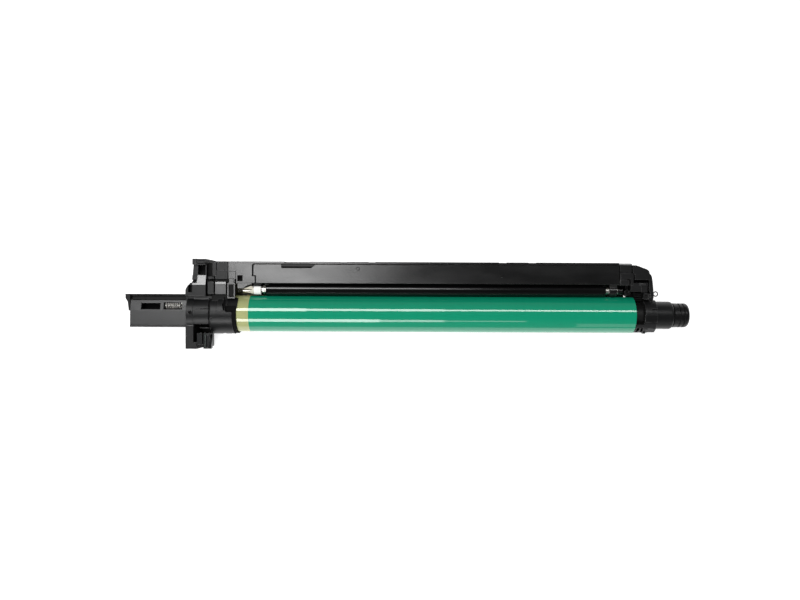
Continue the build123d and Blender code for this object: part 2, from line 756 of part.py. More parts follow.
def front_frame():
    """The end frame between the housing and the front cap, with the half collar round the drum."""
    x0 = x_front_seam + seam
    x1 = x_housing_front - seat_gap
    base = outline((-8, floor_z), (back_y - back_step, floor_z), (back_y - back_step, back_step_z),
                   (back_y, back_step_z + back_step), (back_y, deck_z), (3, deck_z), (-8, 0))
    start = x_front_seam + seat_gap
    part = along(base, start, x1) + raised_front_pads(x0, x1)
    part -= seam_cut(front_core(), start - 1, x0)
    ring = x_collar_seam + seat_gap
    part += rod(collar_outer, ring, x1) - tube(collar_outer + 1, collar_outer - 0.6, ring - 1, ring + seam - seat_gap)
    part -= rod(collar_inner, ring - 1, x1 + 1)
    part += collar_cuff(x1)
    # A small tab on the collar at the lower end of its seam
    part += block(ring + 0.1, ring + 1.9, -5.4, -3.2, collar_inner, collar_outer + 0.1)
    part -= rod(trough_radius, start - 1, x1 + 1, auger_y, auger_z)
    for y, z in front_screw_places:
        part -= rod(screw_radius + 0.1, start - 1, x1 + 1, y, z)
    part -= block(x1 - 0.35, x1 + 0.1, cover_front_y + 0.4, back_y + 1, deck_z - 2.2, deck_z + 2)
    return part - front_frame_pockets(x0, x1)


def collar_cuff(x1):
    """The part of the collar that runs on over the drum, with a stepped block beside its opening."""
    ring = tube(collar_outer, collar_inner, x1 - 1, x_collar_end)
    low = block(x1 - 1, x_collar_end + 1, -20, collar_split_y, 0, 20)
    low += block(x1 - 1, x_collar_end + 1, -20, lip_y - 1.2, -20, 0)
    reach = x_collar_end + felt_width + 1.0
    high = block(x1 - 1, reach, collar_split_y + 3.7, 12.9, 0, 20)
    longer = tube(collar_outer - 0.6, collar_inner, x1 - 1, reach)
    return (ring & low) + (longer & high)


def raised_front_pads(x0, x1):
    """The raised pads, the hook for the housing's loop and the block on the collar."""
    y0 = pad_front_y
    y1 = pad_back_y
    pad = block(x0 + cap_tongue + 1.0, x1 - 1.2, y0, y1, deck_z - 3, pad_z)
    hook = block(x1 + loop_inset + loop_rim + 0.3, x1 + loop_inset + loop_length - loop_rim - 0.3,
                 cover_front_y - loop_reach + loop_rim + 0.4, cover_front_y - loop_rim - 0.3, 9.0, deck_z + 0.2)
    tongue = block(x1 - 1, x1 + loop_length - 1.0, 16.2, cover_front_y - 0.4, 7.6, 9.2)
    ring = rod(collar_outer + 0.8, x0 + 4.6, x1) & block(x0 + 4.6, x1, collar_split_y + 0.2, 13.0, 0, 20)
    border = block(x0 - 0.0, x0 + 3.2, back_y - 11.5, back_y - 0.6, deck_z - 1, deck_z + 0.5)
    return pad + hook + tongue + ring + border


def front_frame_pockets(x0, x1):
    """The recessed panel at the back, the grooves and the openings over the drum's end."""
    panel = block(x0 + 3.2, x1 + 1, back_y - 7.6, back_y - 0.9, deck_z - 0.9, deck_z + 1)
    groove = block(x0 - 1, x1 + 1, pad_back_y, pad_back_y + 2.2, deck_z - 1.8, deck_z + 3)
    tongue_room = block(x0 - 1, x0 + cap_tongue + 0.4, pad_front_y - 0.6, pad_back_y + 4.4, deck_z - 3.6, deck_z + 4)
    loop_room = block(x1 + loop_inset - 0.3, x1 + 1, cover_front_y - loop_reach - 0.4, cover_front_y + 3.4, deck_z - 2, deck_z + 4)
    slit = block(x1 - 3.4, x1 - 1.8, collar_split_y + 1.6, 13.6, 11, 20)
    opening = block(x1 - 0.6, x_collar_end + 1, collar_split_y, collar_split_y + 3.7, 11, 20)
    marks = block(x1 - 6.6, x1 - 3.6, -collar_outer - 1, -collar_outer + 0.7, -3, 5)
    marks += block(x1 + 0.6, x1 + 3.6, -collar_outer - 1, -collar_outer + 0.5, -2, 3)
    return panel + groove + tongue_room + loop_room + slit + opening + marks


def felt_ring():
    """The black felt half ring at the collar's end, which wipes the drum's uncoated end."""
    x0 = x_collar_end + 0.1
    x1 = x0 + felt_width
    ring = tube(collar_outer - 0.5, drum_radius + soft_gap, x0, x1)
    high = tube(collar_inner - 0.1, drum_radius + soft_gap, x0, x1) & block(x0, x1, collar_split_y, 13.4, 0, 20)
    start = x_housing_front - felt_lining
    lining = tube(collar_inner - 0.1, drum_radius + soft_gap, start, x0 + 0.1) & block(start, x0 + 0.1, -20, 13.4, 0, 20)
    return (ring & (block(x0, x1, -20, collar_split_y, 0, 20) + block(x0, x1, -20, lip_y - 1.4, -20, 0))) + high + lining


def front_cap_outline():
    """The front cap seen from above, its front edge sloping and rounding forward to the foot."""
    x0 = x_plate_front
    x1 = x_front_seam
    toe = x_plate_rear + chip_from_plate - 0.2
    corners = [(x0, foot_y), (toe, foot_y), (toe, foot_y + 5.6), (x_plate_rear, foot_y + 5.6),
               (x_plate_rear, -4.0), (x1, -4.0), (x1, back_y - 0.6), (x1 - 4.4, back_y - 0.6),
               (x1 - 4.4, cap_back_y), (x0 + 6.2, cap_back_y), (x0 + 5.6, 38.0)]
    return curved_outline(corners, [(x0 + 5.0, 29.4), (x0 + 4.0, 26.0), (x0 + 1.0, 21.3), (x0, 15.6)])


def front_cap_section():
    """The front cap seen along the axis."""
    top = outline((-6, 12), (pad_front_y - 1.6, 12), (pad_front_y - 1.6, pad_z), (pad_back_y - 2.6, pad_z),
                  (31.2, pad_z - 2.1), (31.2, deck_z - 1), (cap_back_y - cap_back_rim, deck_z - 1), (cap_back_y - cap_back_rim, cap_top_z),
                  (cap_back_y - 0.8, cap_top_z), (cap_back_y, cap_top_z - 0.8), (cap_back_y, floor_z), (0, floor_z))
    foot = outline((foot_y, floor_z), (2, floor_z), (2, foot_top_z), (foot_y, foot_top_z))
    return top + foot


def front_end_cap():
    x0 = x_plate_front
    x1 = x_front_seam
    part = along(front_cap_section(), x0, x1) & upright(front_cap_outline(), floor_z - 1, cap_top_z + 1)
    part += rod(collar_outer + 0.5, x0 + 0.8, x_plate_rear) + rod(collar_outer, x_plate_rear, x_collar_seam)
    # The frame's collar reaches a little way into the cap
    part -= tube(collar_outer + seat_gap, cap_hub_radius, x_collar_seam, x1 + 1)
    # The collar is open at its front side, over the low shelf that the chip holder stands on
    part -= block(x_plate_rear, x_collar_seam - seam, -collar_outer - 1, collar_void_y, foot_floor_z + 1, collar_outer)
    part += block(x_plate_rear - 1, x_plate_rear + chip_from_plate + chip_shelf, foot_y + 0.6, -3.0, floor_z, foot_floor_z)
    part += block(x_plate_rear - 1, x_collar_seam - 0.2, -collar_outer + 0.3, -3.0, floor_z, foot_floor_z)
    ledge_y = collar_void_y - 3.0
    part += block(x_plate_rear + 4.9, x1 - 0.5, ledge_y - 0.4, ledge_y + 0.4, foot_floor_z - 1, deck_z)
    # The tongue beside the front frame's pad, and the strip behind it
    part += block(x1 - 2.8, x1 + seam + cap_tongue, pad_front_y, pad_back_y, deck_z - 3, pad_z)
    part += block(x1 - 2.8, x1 + seam + cap_tongue, pad_back_y + 2.4, pad_back_y + 4.0, deck_z - 3, deck_z + 0.9)
    part -= front_cap_hollow(x0, x1)
    part -= front_cap_windows(x0, x1)
    # Two lugs on the back edge, one of them rounded
    part += block(x1 - 15.0, x1 - 11.4, cap_back_y - 4.4, cap_back_y, cap_top_z - 1, cap_top_z + 0.6)
    part += Pos(x1 - 7.6, cap_back_y - 2.4, cap_top_z - 0.6) * Rot(0, 90, 0) * Cylinder(2.0, 6.4)
    return part


def front_cap_hollow(x0, x1):
    """The inside of the front cap: pin seat, auger chamber, the passage to the duct and the screw holes."""
    ring_room = rod(collar_inner - 0.7, x_plate_rear, x1 + 1) - rod(cap_hub_radius, x_plate_rear, x1 + 1)
    seat = rod(pin_radius, x_plate_rear, x1 + 1)
    chamber = rod(trough_radius, x_auger_seat + 2.0, x1 + 1, auger_y, auger_z)
    journal = rod(auger_shaft_radius + running_gap, x_auger_seat, x_auger_seat + 3, auger_y, auger_z)
    low = auger_z - 3
    high = auger_z + 4.8
    passage = block(x0 + 2.8, x_plate_rear - 1.2, duct_front_y + duct_wall, 20.0, low, high)
    passage += block(x0 + 3.6, x_plate_rear + 3.4, 17.0, 24.5, low, high) + block(x0 + 5.8, x_plate_rear + 3.4, 24, 28, low, high)
    mouth = block(x0 - 1, x0 + 3, duct_front_y + duct_wall, duct_crease_y - duct_wall, duct_floor_z + duct_wall, high)
    hollow = ring_room + seat + chamber + journal + passage + mouth
    for y, z in front_screw_places:
        hollow += rod(screw_head_radius + 0.3, x0 - 1, x1 - screw_seat, y, z) + rod(screw_radius + 0.1, x0, x1 + 1, y, z)
    return hollow


def front_cap_windows(x0, x1):
    """The deep window, the slots and grooves in the front cap's upper side, and its round dimple."""
    window = block(x1 - 11.4, x1 - 4.4 - 0.9, 31.6, cap_back_y - cap_back_rim - 0.1, deck_z - 9, deck_z + 5)
    low_corner = block(x1 - 4.4, x1 + 1, pad_back_y + 4.3, cap_back_y + 1, deck_z - 7, deck_z + 5)
    edge_slot = block(x0 + 2.3, x0 + 5.4, 17.1, 23.2, pad_z - 6, pad_z + 3)
    step = block(x0 - 1, x0 + 9.0, 25.0, 27.6, pad_z - 6, pad_z + 3)
    front_step = block(x0 - 1, x0 + 9.4, 27.6, 31.4, pad_z - 2.2, pad_z + 3)
    front_step += block(x0 - 1, x0 + 5.4, 23.2, 25.0, pad_z - 1.6, pad_z + 3)
    groove = block(x1 - 4.4, x1 - 2.8, pad_front_y - 1.7, cap_back_y + 1, deck_z - 4, deck_z + 5)
    pad_step = block(x1 - 3, x1 + seam + cap_tongue + 1, pad_back_y, pad_back_y + 2.4, deck_z - 3, deck_z + 5)
    front_edge = block(x1 - 2.8, x1 + 1, pad_front_y - 1.7, pad_front_y, deck_z - 3.4, deck_z + 5)
    front_edge -= rod(collar_outer, x1 - 4, x1 + 2)
    dimple = Pos(x0 + 4.4, 0.8, collar_outer) * Cylinder(1.4, 3.4) - Pos(x0 + 4.4, 0.8, collar_outer - 1.5) * Cylinder(0.7, 1.6)
    return window + low_corner + edge_slot + step + front_step + groove + pad_step + front_edge + dimple


def chip_holder():
    """The slotted block on the front cap's foot that carries the memory board."""
    x0 = x_plate_rear + chip_from_plate
    x1 = x0 + chip_length
    z0 = foot_floor_z + seat_gap
    top = foot_top_z - 0.8
    y0 = foot_y + 0.1
    left = outline((x0, y0 + 3.2), (x0 + 4.2, y0 + 3.2), (x0 + 4.2, chip_back_y), (x0, chip_back_y))
    right = outline((x0 + 5.0, y0), (x1 - 1.8, y0), (x1, chip_back_y), (x0 + 5.0, chip_back_y))
    base = outline((x0, y0 + 3.2), (x0 + 5.0, y0 + 3.2), (x0 + 5.0, y0), (x1 - 1.8, y0), (x1, chip_back_y), (x0, chip_back_y))
    part = upright(left, z0, top + 0.8) + upright(right, z0, top) + upright(base, z0, z0 + 3)
    part -= board_slot(seat_gap)
    part -= block(x0 + 7.2, x0 + 9.2, y0 + 1.2, chip_back_y - 1.6, top - 1.4, top + 1)
    part -= block(x0 + 10.2, x0 + 11.2, y0 + 0.6, chip_back_y - 6.2, top - 7, top + 1)
    part -= block(x0 + 10.2, x0 + 12.2, chip_back_y - 4.8, chip_back_y - 1.0, top - 4, top + 1)
    part -= rod(collar_outer + seat_gap, x0 - 1, x1 + 1)
    return part - block(x0 + 9.4, x0 + 13.5, chip_back_y - 5.8, chip_back_y - 5.2, top - 3, top + 1)


def board_slot(gap):
    """The room that the memory board stands in, given the gap round the board."""
    start = x_plate_rear + chip_from_plate + 5.9
    return block(start - gap, start + board_thickness + gap, foot_y + 1.1 - gap, chip_back_y - 1.2 + gap,
                 foot_floor_z + 4 - gap, foot_top_z + gap)


def memory_board():
    """The small circuit board that stands in the holder's slot."""
    return board_slot(0) - block(x_plate_rear, x_front_seam, foot_y, 0, foot_top_z - 1.4, foot_top_z + 1)


# Discharge duct

def duct_section():
    """The duct's outer section: closed tube at the front side, sloping shutter guide and ledge behind it."""
    return outline((duct_front_y, duct_floor_z), (duct_ledge_y + 0.6, duct_floor_z), (duct_ledge_y + 0.6, duct_ledge_z - 1.4),
                   (duct_back_y, duct_ledge_z - 1.4), (duct_back_y, duct_ledge_z + 3.4), (duct_back_y - 1.0, duct_ledge_z + 3.4),
                   (duct_back_y - 1.0, duct_ledge_z), (duct_ledge_y + 0.6, duct_ledge_z), (duct_ledge_y, duct_top_z - 2.2),
                   (duct_crease_y, duct_top_z), (duct_front_y + 1.6, duct_top_z), (duct_front_y + 1.6, duct_top_z + 0.6),
                   (duct_front_y, duct_top_z + 0.6))


def spring_slot_span():
    end = x_plate_front - spring_slot_from_plate
    return end - spring_slot, end


def shutter_channel():
    """Y span and Z span of the channel that the shutter slides in."""
    return duct_crease_y + 0.4, duct_ledge_y - 1.0, duct_floor_z + duct_wall, duct_top_z - 4.0


def discharge_duct():
    x0 = x_duct_tip + 5.0
    x1 = x_plate_front
    part = along(duct_section(), x0, x1)
    # The flared end of the ledge, with a rounded corner
    flare = outline((x_duct_tip, duct_back_y), (x0 + 4, duct_back_y), (x0 + 4, duct_crease_y), (x0 - 2.2, duct_crease_y),
                    (x_duct_tip + 2.6, 4.6), (x_duct_tip + 2.0, 9.4), (x_duct_tip + 0.2, 12.2))
    flare = upright(flare, duct_floor_z, duct_ledge_z + 3.4)
    flare -= block(x0 - 1, x0 + 5, duct_crease_y - 1, duct_back_y - 1.0, duct_ledge_z - 6, duct_ledge_z + 5)
    part += flare + block(x0 - 0.5, x0 + 1.5, duct_crease_y, duct_ledge_y + 0.6, duct_floor_z, duct_ledge_z + 3.4)
    # Toner passage
    part -= block(x0 + duct_wall, x1 + 1, duct_front_y + duct_wall, duct_crease_y - duct_wall,
                  duct_floor_z + duct_wall, duct_top_z - duct_wall)
    part -= discharge_port()
    # Shutter channel with its two slots above and the shutter's recess below
    y0, y1, z0, z1 = shutter_channel()
    part -= block(x0 + duct_wall, x1 - duct_wall, y0, y1, z0, z1)
    spring_start, spring_end = spring_slot_span()
    for start, end in ((spring_start, spring_end), (spring_start - slot_bridge - finger_slot, spring_start - slot_bridge)):
        part -= block(start, end, slot_low_y, slot_high_y, z1 - 1, duct_top_z + 2)
    room = slide_gap
    part -= rod(spring_radius + spring_wire + room, spring_start, spring_end, spring_y, spring_z)
    x_plate = x_port() - 1.0
    part -= block(x_plate - room, x_plate + port_length + 2.0 + shutter_travel + room, duct_front_y + 1.0 - room, y1,
                  duct_floor_z - 1, duct_floor_z + shutter_thickness + room)
    part -= block(x_plate - room, x_plate + shutter_link + shutter_travel + room, y0, y1, duct_floor_z - 1, z0 + 0.1)
    part += block(x0 + 9.4, x0 + 10.8, duct_back_y - 1.0, duct_back_y, duct_ledge_z + 3, duct_ledge_z + 4.4)
    return part


def x_port():
    return x_duct_tip + 10.0


def port_y():
    return (duct_front_y + duct_crease_y) / 2


def discharge_port():
    return block(x_port(), x_port() + port_length, port_y() - port_width / 2, port_y() + port_width / 2,
                 duct_floor_z - 1, duct_floor_z + duct_wall + 1)


def shutter_slider():
    """The plate under the duct that closes its port, with the arm and finger that the spring pushes."""
    y0, y1, z0, z1 = shutter_channel()
    room = slide_gap
    x0 = x_port() - 1.0
    x1 = finger_end()
    plate = block(x0, x0 + port_length + 2.0, duct_front_y + 1.0, y1 - room, duct_floor_z, duct_floor_z + shutter_thickness)
    link = block(x0, x0 + shutter_link, y0 + room, y1 - room, duct_floor_z, z0 + 2.4)
    arm = block(x0, x1, y0 + room, y1 - room, z0 + room, z0 + 2.4)
    finger = block(x1 - 1.6, x1, slot_low_y + 0.4, slot_high_y - 0.4, z0 + 2, spring_z + 1.2)
    return plate + link + arm + finger


def finger_end():
    return spring_slot_span()[0] + 1.8


def shutter_spring():
    start = finger_end() + spring_wire
    end = spring_slot_span()[1] - spring_wire
    spring = helix_spring(spring_radius, spring_wire, spring_turns, end - start)
    return Pos(start, spring_y, spring_z) * Rot(0, 90, 0) * spring


# Rear mouldings

def rear_frame():
    """The stepped end frame between the housing and the rear cap, with an arm over the gears."""
    start = x_housing_rear + seat_gap
    x0 = x_housing_rear + seam
    x1 = x_cap_seam
    y0 = cover_front_y
    lower_back = back_y - back_step
    low = outline((frame_front_y, floor_z), (lower_back, floor_z), (lower_back, back_step_z), (back_y, back_step_z + back_step),
                  (back_y - 1.6, deck_z), (y0 - 0.6, deck_z), (y0 - 0.6, shelf_z - 1), (frame_front_y, -6.5))
    core = outline((0, floor_z + 1.2), (lower_back - 1.2, floor_z + 1.2), (lower_back - 1.2, deck_z - 3.2), (0, deck_z - 3.2))
    part = along(low, start, x1)
    part -= seam_cut(core, start - 1, x0) + seam_cut(core, x1 - 0.4, x1 + 1)
    part -= block(x1 - 1.8, x1 + 1, back_y - 8.4, back_y + 1, low_split_z - 0.2, deck_z + 1)
    part += block(start, x1, frame_front_y - 5.0, frame_front_y + 0.5, floor_z + 0.6, floor_z + 2.4)
    # The arm and its stepped blocks
    arm_end = cap_x(0.309)
    arm_mid = cap_x(0.63)
    part += block(x1 - 2.6, arm_mid, 19.4, y0 + 1.3, arm_z, deck_z - 0.3)
    part += block(arm_mid - 1.2, arm_end, y0 - 0.8, y0 + 1.5, arm_z, deck_z + 0.3)
    part += block(arm_mid + 0.2, arm_end, 18.8, y0 - 0.2, arm_z, deck_z - 0.9)
    part += block(arm_mid, arm_end - 2.0, y0, y0 + 0.7, deck_z - 1, deck_z + 0.8)
    # Raised and sunk steps of the upper side
    part -= block(x0 - 1, x1 + 1, back_y - 8.6, back_y - 7.6, deck_z - 1.2, deck_z + 1)
    part -= block(x0 - 1, x1 + 1, back_y - 7.7, back_y + 1, deck_z - 0.5, deck_z + 1)
    part -= block(x0 + 5.6, x0 + 9.0, y0 + 3.6, y0 + 4.4, deck_z - 3, deck_z + 1)
    part -= block(x0 + 7.8, x0 + 9.0, y0 - 1, y0 + 4.4, deck_z - 4, deck_z + 1)
    part -= block(start - 1, x0 + 0.5, y0 + 4.4, back_y - 2.6, deck_z - 3.2, deck_z + 1)
    part += block(x0 + 0.5, x0 + 7.0, y0 - 0.4, y0 + 3.6, deck_z - 2, deck_z + 0.5)
    part += Pos(x0 + 8.6, 18.6, 2.0) * Cylinder(2.6, 6) - Pos(x0 + 8.6, 18.6, 5.0) * Cylinder(1.4, 4)
    part += block(x0 + 7.6, x0 + 9.6, 19, y0, -2, 3)
    part -= rod(drum_radius + 1.2, start - 1, x_gear_rear, 0, 0)
    part -= rod(auger_shaft_radius + running_gap, start - 1, x1 + 1, auger_y, auger_z)
    for y, z in rear_screw_places:
        part -= rod(screw_radius + 0.1, start - 1, x1 + 1, y, z)
    return part


def cap_x(share):
    """A place along the rear cap, as a share of the way from its rim to its seam."""
    return -rim_end - share * (rear_cap_length - rim_end)


def rear_cap_outline():
    """The rear cap seen from above: the hood at the back and the rim wall in front of it."""
    x0 = x_cap_seam
    hood_curve = [(cap_x(share), y) for share, y in
                  ((0.790, 40.3), (0.568, 38.9), (0.333, 37.4), (0.235, 35.8), (0.222, 34.2))]
    hood = curved_outline([(cap_x(0.3), 30), (x0 + 0.6, 30), (x0 + 0.6, 33.4), (x0 - 1.1, 35.4), (x0 - 1.1, back_y - 1.7)],
                          [(x0 + 1.6, back_y - 1.8)] + hood_curve)
    step_y = cover_front_y + 3.9
    rim_curve = [(cap_x(share), y) for share, y in
                 ((0.198, 33.8), (0.124, 32.4), (0.086, 30.2), (0.049, 25.4), (0.012, 16.0), (0.0, 10.5))]
    rim = curved_outline([(cap_x(0), rim_front_y), (cap_x(0.185), rim_front_y), (cap_x(0.185), 19.0), (cap_x(0.247), 20.0),
                          (cap_x(0.247), step_y), (x0 + 0.6, step_y), (x0 + 0.6, 33.2), (cap_x(0.222), 34.4)], rim_curve)
    return hood + rim


def rear_low_outline():
    """The lower part of the rear cap seen from above, which closes the gear chamber."""
    x0 = x_cap_seam + seat_gap
    curve = [(cap_x(share), y) for share, y in
             ((0.815, 40.5), (0.586, 39.6), (0.395, 38.0), (0.259, 35.4), (0.148, 31.6), (0.080, 25.4), (0.037, 16.0), (0.025, 10.5))]
    wall_y = back_y - back_step - 0.5
    return curved_outline([(cap_x(0.025), rim_front_y), (x_gear_front, rim_front_y), (x_gear_front, 10.0), (x0, frame_front_y),
                           (x0, wall_y), (cap_x(0.852), wall_y)], curve)


def rear_end_cap():
    x0 = x_cap_seam + seam
    inner = -rim_end - rear_wall
    lower_back = back_y - back_step
    section = outline((-12, floor_z), (lower_back, floor_z), (lower_back, back_step_z), (back_y, back_step_z + back_step),
                      (back_y, deck_z), (15, deck_z), (10, 9), (-4, -2), (-12, -12))
    upper = along(section, x_cap_seam - 1.2, -rim_end) & upright(rear_cap_outline(), low_split_z - 0.1, deck_z + 1)
    lower = along(section, x_cap_seam, -rim_end) & upright(rear_low_outline(), floor_z - 1, low_split_z)
    part = upper + lower - gear_chamber(inner) + rear_sleeve(inner) + rear_cap_blocks()
    # A floor under the drum's neck and the gears
    part += block(x_tube_rear + 1, x_gear_rear, rim_front_y + 2.0, gear_floor_y, floor_z, floor_z + 2.2)
    y, z = idler_centre()
    idler_tip = gear_module * (idler_teeth / 2 + 1)
    part -= rod(idler_tip + 0.5, x_tube_rear, inner, y, z)
    part += rod(axle_radius, x_idler_front + 0.3, inner + 0.5, y, z) + rod(axle_radius + 1.6, x_gear_rear + 0.2, inner + 0.5, y, z)
    for y, z in rear_screw_places:
        part += rod(screw_head_radius + 1.2, x0, x0 + 4.6, y, z) & block(x0, 0, 0, 50, floor_z, deck_z)
        part -= rod(screw_head_radius + 0.3, x0 + screw_seat, 2, y, z) + rod(screw_radius + 0.1, x_cap_seam - 1, 0, y, z)
    part -= rod(ring_inner, x_gear_front - 1, inner) & block(-30, 0, -20, ring_inner, -20, 20)
    part -= rod(shaft_radius + running_gap + bush_wall, inner - 1, spigot_length + 1)
    return part - rod(loop_wire + 0.1, -12, 0, wire_y, wire_z)


def gear_chamber(inner):
    """The room for the gears inside the rear cap, open towards the drum and the rear frame's arm."""
    roof = deck_z - hood_wall
    y_auger = auger_y + gear_module * auger_teeth / 2 + 1.1
    room = block(x_cap_seam - 2, inner, -drum_radius - 5, y_auger, floor_z + 2, low_split_z)
    room += block(x_cap_seam - 2, inner, drum_radius, y_auger, low_split_z - 0.5, roof)
    room += rod(auger_shaft_radius + 1, x_cap_seam - 2, x_idler_front + auger_gear_width, auger_y, auger_z)
    solid = block(x_idler_front + auger_gear_width + 1.4, inner, auger_y - 1.0, back_y, floor_z, deck_z)
    return room - solid


def rear_sleeve(inner):
    """The guard round the drum's gear, the lugged sleeve and the spigot round the drive shaft."""
    wall_disc = rod(sleeve_outer, inner, 0)
    spigot = rod(spigot_radius, -1, spigot_length)
    spigot = fillet(spigot.edges().sort_by(Axis.X)[-1], 2.4)
    guard = tube(ring_outer, ring_inner, x_gear_front + 0.5, inner + 0.1)
    guard &= block(-30, 0, -20, 13, -20, 20)
    skirt = tube(ring_outer, ring_inner + 0.2, x_tube_rear + seam, inner + 0.1) & block(-30, 0, -20, -7.7, -20, 20)
    skirt -= block(x_tube_rear + 1.6, x_tube_rear + 4.0, -20, -10.4, 3, 20)
    skirt -= block(x_tube_rear + 5.2, x_tube_rear + 7.4, -20, -10.4, 3, 20)
    ledge = block(x_tube_rear + seam, x_tube_rear + 5.4, -10.4, -7.6, 10.2, 12.4) & tube(ring_outer, ring_inner, -30, 0)
    part = wall_disc + spigot + guard + skirt + ledge
    for y0, y1, x0, lift in ((5.3, 12.3, -9.0, 0.0), (-5.6, 0.4, -10.6, 0.3), (-12.0, -6.2, -10.8, 0.0)):
        part += tube(ring_outer + lift, ring_inner - 4, x0, -0.4) & block(x0, 0, y0, y1, 0, 20)
    for turn in (150, 210, 260):
        part += Rot(turn, 0, 0) * block(-7.0, -0.4, 10.5, ring_outer, -3.2, 3.2)
    return part


def rear_cap_blocks():
    """The small framed recess above the sleeve and the knob at its lower side."""
    tower = Pos(cap_x(0.185) - 2.8, 15.4, 10.6) * Rot(0, 0, -12) * (Box(5.6, 5.2, 4.0) - Pos(0, 0, 2.0) * Box(3.4, 3.2, 4.0))
    knob = Pos(-8.6, rim_front_y - 0.2, 2.0) * Cylinder(1.1, 6)
    return (tower & block(-20, 0, 12.6, 30, 0, 20)) + knob


def rear_bush():
    inner = shaft_radius + running_gap
    return tube(inner + bush_wall, inner, -rim_end - rear_wall + 0.3, spigot_length - 0.6)


def earth_wire():
    """The sprung wire that leaves the rear cap's side and ends in a small loop."""
    x = loop_x
    loop = Pos(x, wire_y, wire_z) * Torus(loop_radius, loop_wire)
    return loop + rod(loop_wire, -11.0, x - loop_radius + 0.2, wire_y, wire_z)


def cap_screws():
    """The long screws that hold both end mouldings on, as one group of separate solids."""
    screws = []
    rear = x_cap_seam + seam + screw_seat
    for x, inward, places in ((x_front_seam - screw_seat, 1, front_screw_places), (rear, -1, rear_screw_places)):
        end = x_housing_front if inward > 0 else x_housing_rear
        for y, z in places:
            head = rod(screw_head_radius, x, x - inward * 1.8, y, z)
            cross = block(x - inward * 0.9, x - inward * 2, y - 1.6, y + 1.6, z - 0.35, z + 0.35)
            cross += block(x - inward * 0.9, x - inward * 2, y - 0.35, y + 0.35, z - 1.6, z + 1.6)
            shank = rod(screw_radius, x, end + inward * (screw_bite - 0.5), y, z)
            screws.append(head - cross + shank)
    return Compound(children=screws)


def main():
    os.makedirs("parts", exist_ok=True)
    save(drum_tube(), "drum_tube")
    save(front_flange(), "drum_front_flange")
    save(rear_flange(), "drum_gear_flange")
    save(drum_pin(), "drum_pin")
    save(earth_plate(), "drum_earth_plate")
    save(drive_coupling(), "drive_coupling")
    save(cleaner_housing(), "cleaner_housing")
    save(top_cover(), "top_cover")
    save(charge_roller(), "charge_roller_rubber")
    save(charge_shaft(), "charge_roller_shaft")
    save(cleaning_roller(), "cleaning_roller_foam")
    save(cleaning_shaft(), "cleaning_roller_shaft")
    for name, (start, end) in zip(("front", "rear"), bearing_spans()):
        save(charge_bearing(start, end), f"charge_bearing_{name}")
        save(charge_spring(start, end), f"charge_spring_{name}")
    save(roller_clip(), "roller_clip")
    save(cleaning_blade(), "cleaning_blade")
    save(blade_bracket(), "blade_bracket")
    save(blade_screws(), "blade_screws")
    save(recovery_film(), "recovery_film")
    save(end_seal(x_housing_front + 1.0, x_housing_front + blade_end_gap - 0.4), "end_seal_front")
    save(end_seal(x_housing_rear - blade_end_gap + 0.4, x_housing_rear - 1.0), "end_seal_rear")
    save(waste_auger(), "waste_auger")
    save(auger_gear(), "auger_gear")
    save(idler_gear(), "idler_gear")
    save(front_frame(), "front_side_frame")
    save(felt_ring(), "front_felt_ring")
    save(front_end_cap(), "front_end_cap")
    save(chip_holder(), "chip_holder")
    save(memory_board(), "memory_board")
    save(discharge_duct(), "discharge_duct")
    save(shutter_slider(), "discharge_shutter")
    save(shutter_spring(), "shutter_spring")
    save(rear_frame(), "rear_side_frame")
    save(rear_end_cap(), "rear_end_cap")
    save(rear_bush(), "rear_bush")
    save(earth_wire(), "earth_wire")
    save(cap_screws(), "cap_screws")


main()
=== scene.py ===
import json
import math

import bmesh
import bpy
from mathutils import Matrix, Vector
from mathutils.bvhtree import BVHTree
from mathutils.kdtree import KDTree

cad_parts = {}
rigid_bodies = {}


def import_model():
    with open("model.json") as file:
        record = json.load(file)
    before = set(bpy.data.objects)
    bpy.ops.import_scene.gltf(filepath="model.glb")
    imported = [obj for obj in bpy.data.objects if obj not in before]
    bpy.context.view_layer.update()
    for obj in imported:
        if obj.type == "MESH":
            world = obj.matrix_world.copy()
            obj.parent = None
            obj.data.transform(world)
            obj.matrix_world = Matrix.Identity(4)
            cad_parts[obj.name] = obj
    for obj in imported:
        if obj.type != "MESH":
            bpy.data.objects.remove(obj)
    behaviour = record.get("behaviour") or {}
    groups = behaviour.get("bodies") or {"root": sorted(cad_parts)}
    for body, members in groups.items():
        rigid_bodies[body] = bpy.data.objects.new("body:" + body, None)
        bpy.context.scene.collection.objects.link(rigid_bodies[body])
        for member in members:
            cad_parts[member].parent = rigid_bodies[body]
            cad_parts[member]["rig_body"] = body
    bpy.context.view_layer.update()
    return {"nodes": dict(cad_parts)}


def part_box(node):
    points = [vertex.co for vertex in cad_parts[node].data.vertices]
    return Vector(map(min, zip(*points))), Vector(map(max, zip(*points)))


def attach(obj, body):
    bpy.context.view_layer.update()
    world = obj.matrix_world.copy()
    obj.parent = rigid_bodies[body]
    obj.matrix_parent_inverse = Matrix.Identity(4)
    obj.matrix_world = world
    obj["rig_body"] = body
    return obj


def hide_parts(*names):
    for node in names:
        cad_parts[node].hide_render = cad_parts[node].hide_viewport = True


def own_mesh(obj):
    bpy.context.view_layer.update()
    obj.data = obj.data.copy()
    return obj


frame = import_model()
mm = 0.001
print("frame loaded")

# Camera, which looks straight down

view = {"x": -210 * mm, "y": 11.7 * mm, "height": 650 * mm, "lens": 35.2, "sensor": 36, "roll": 0.25}

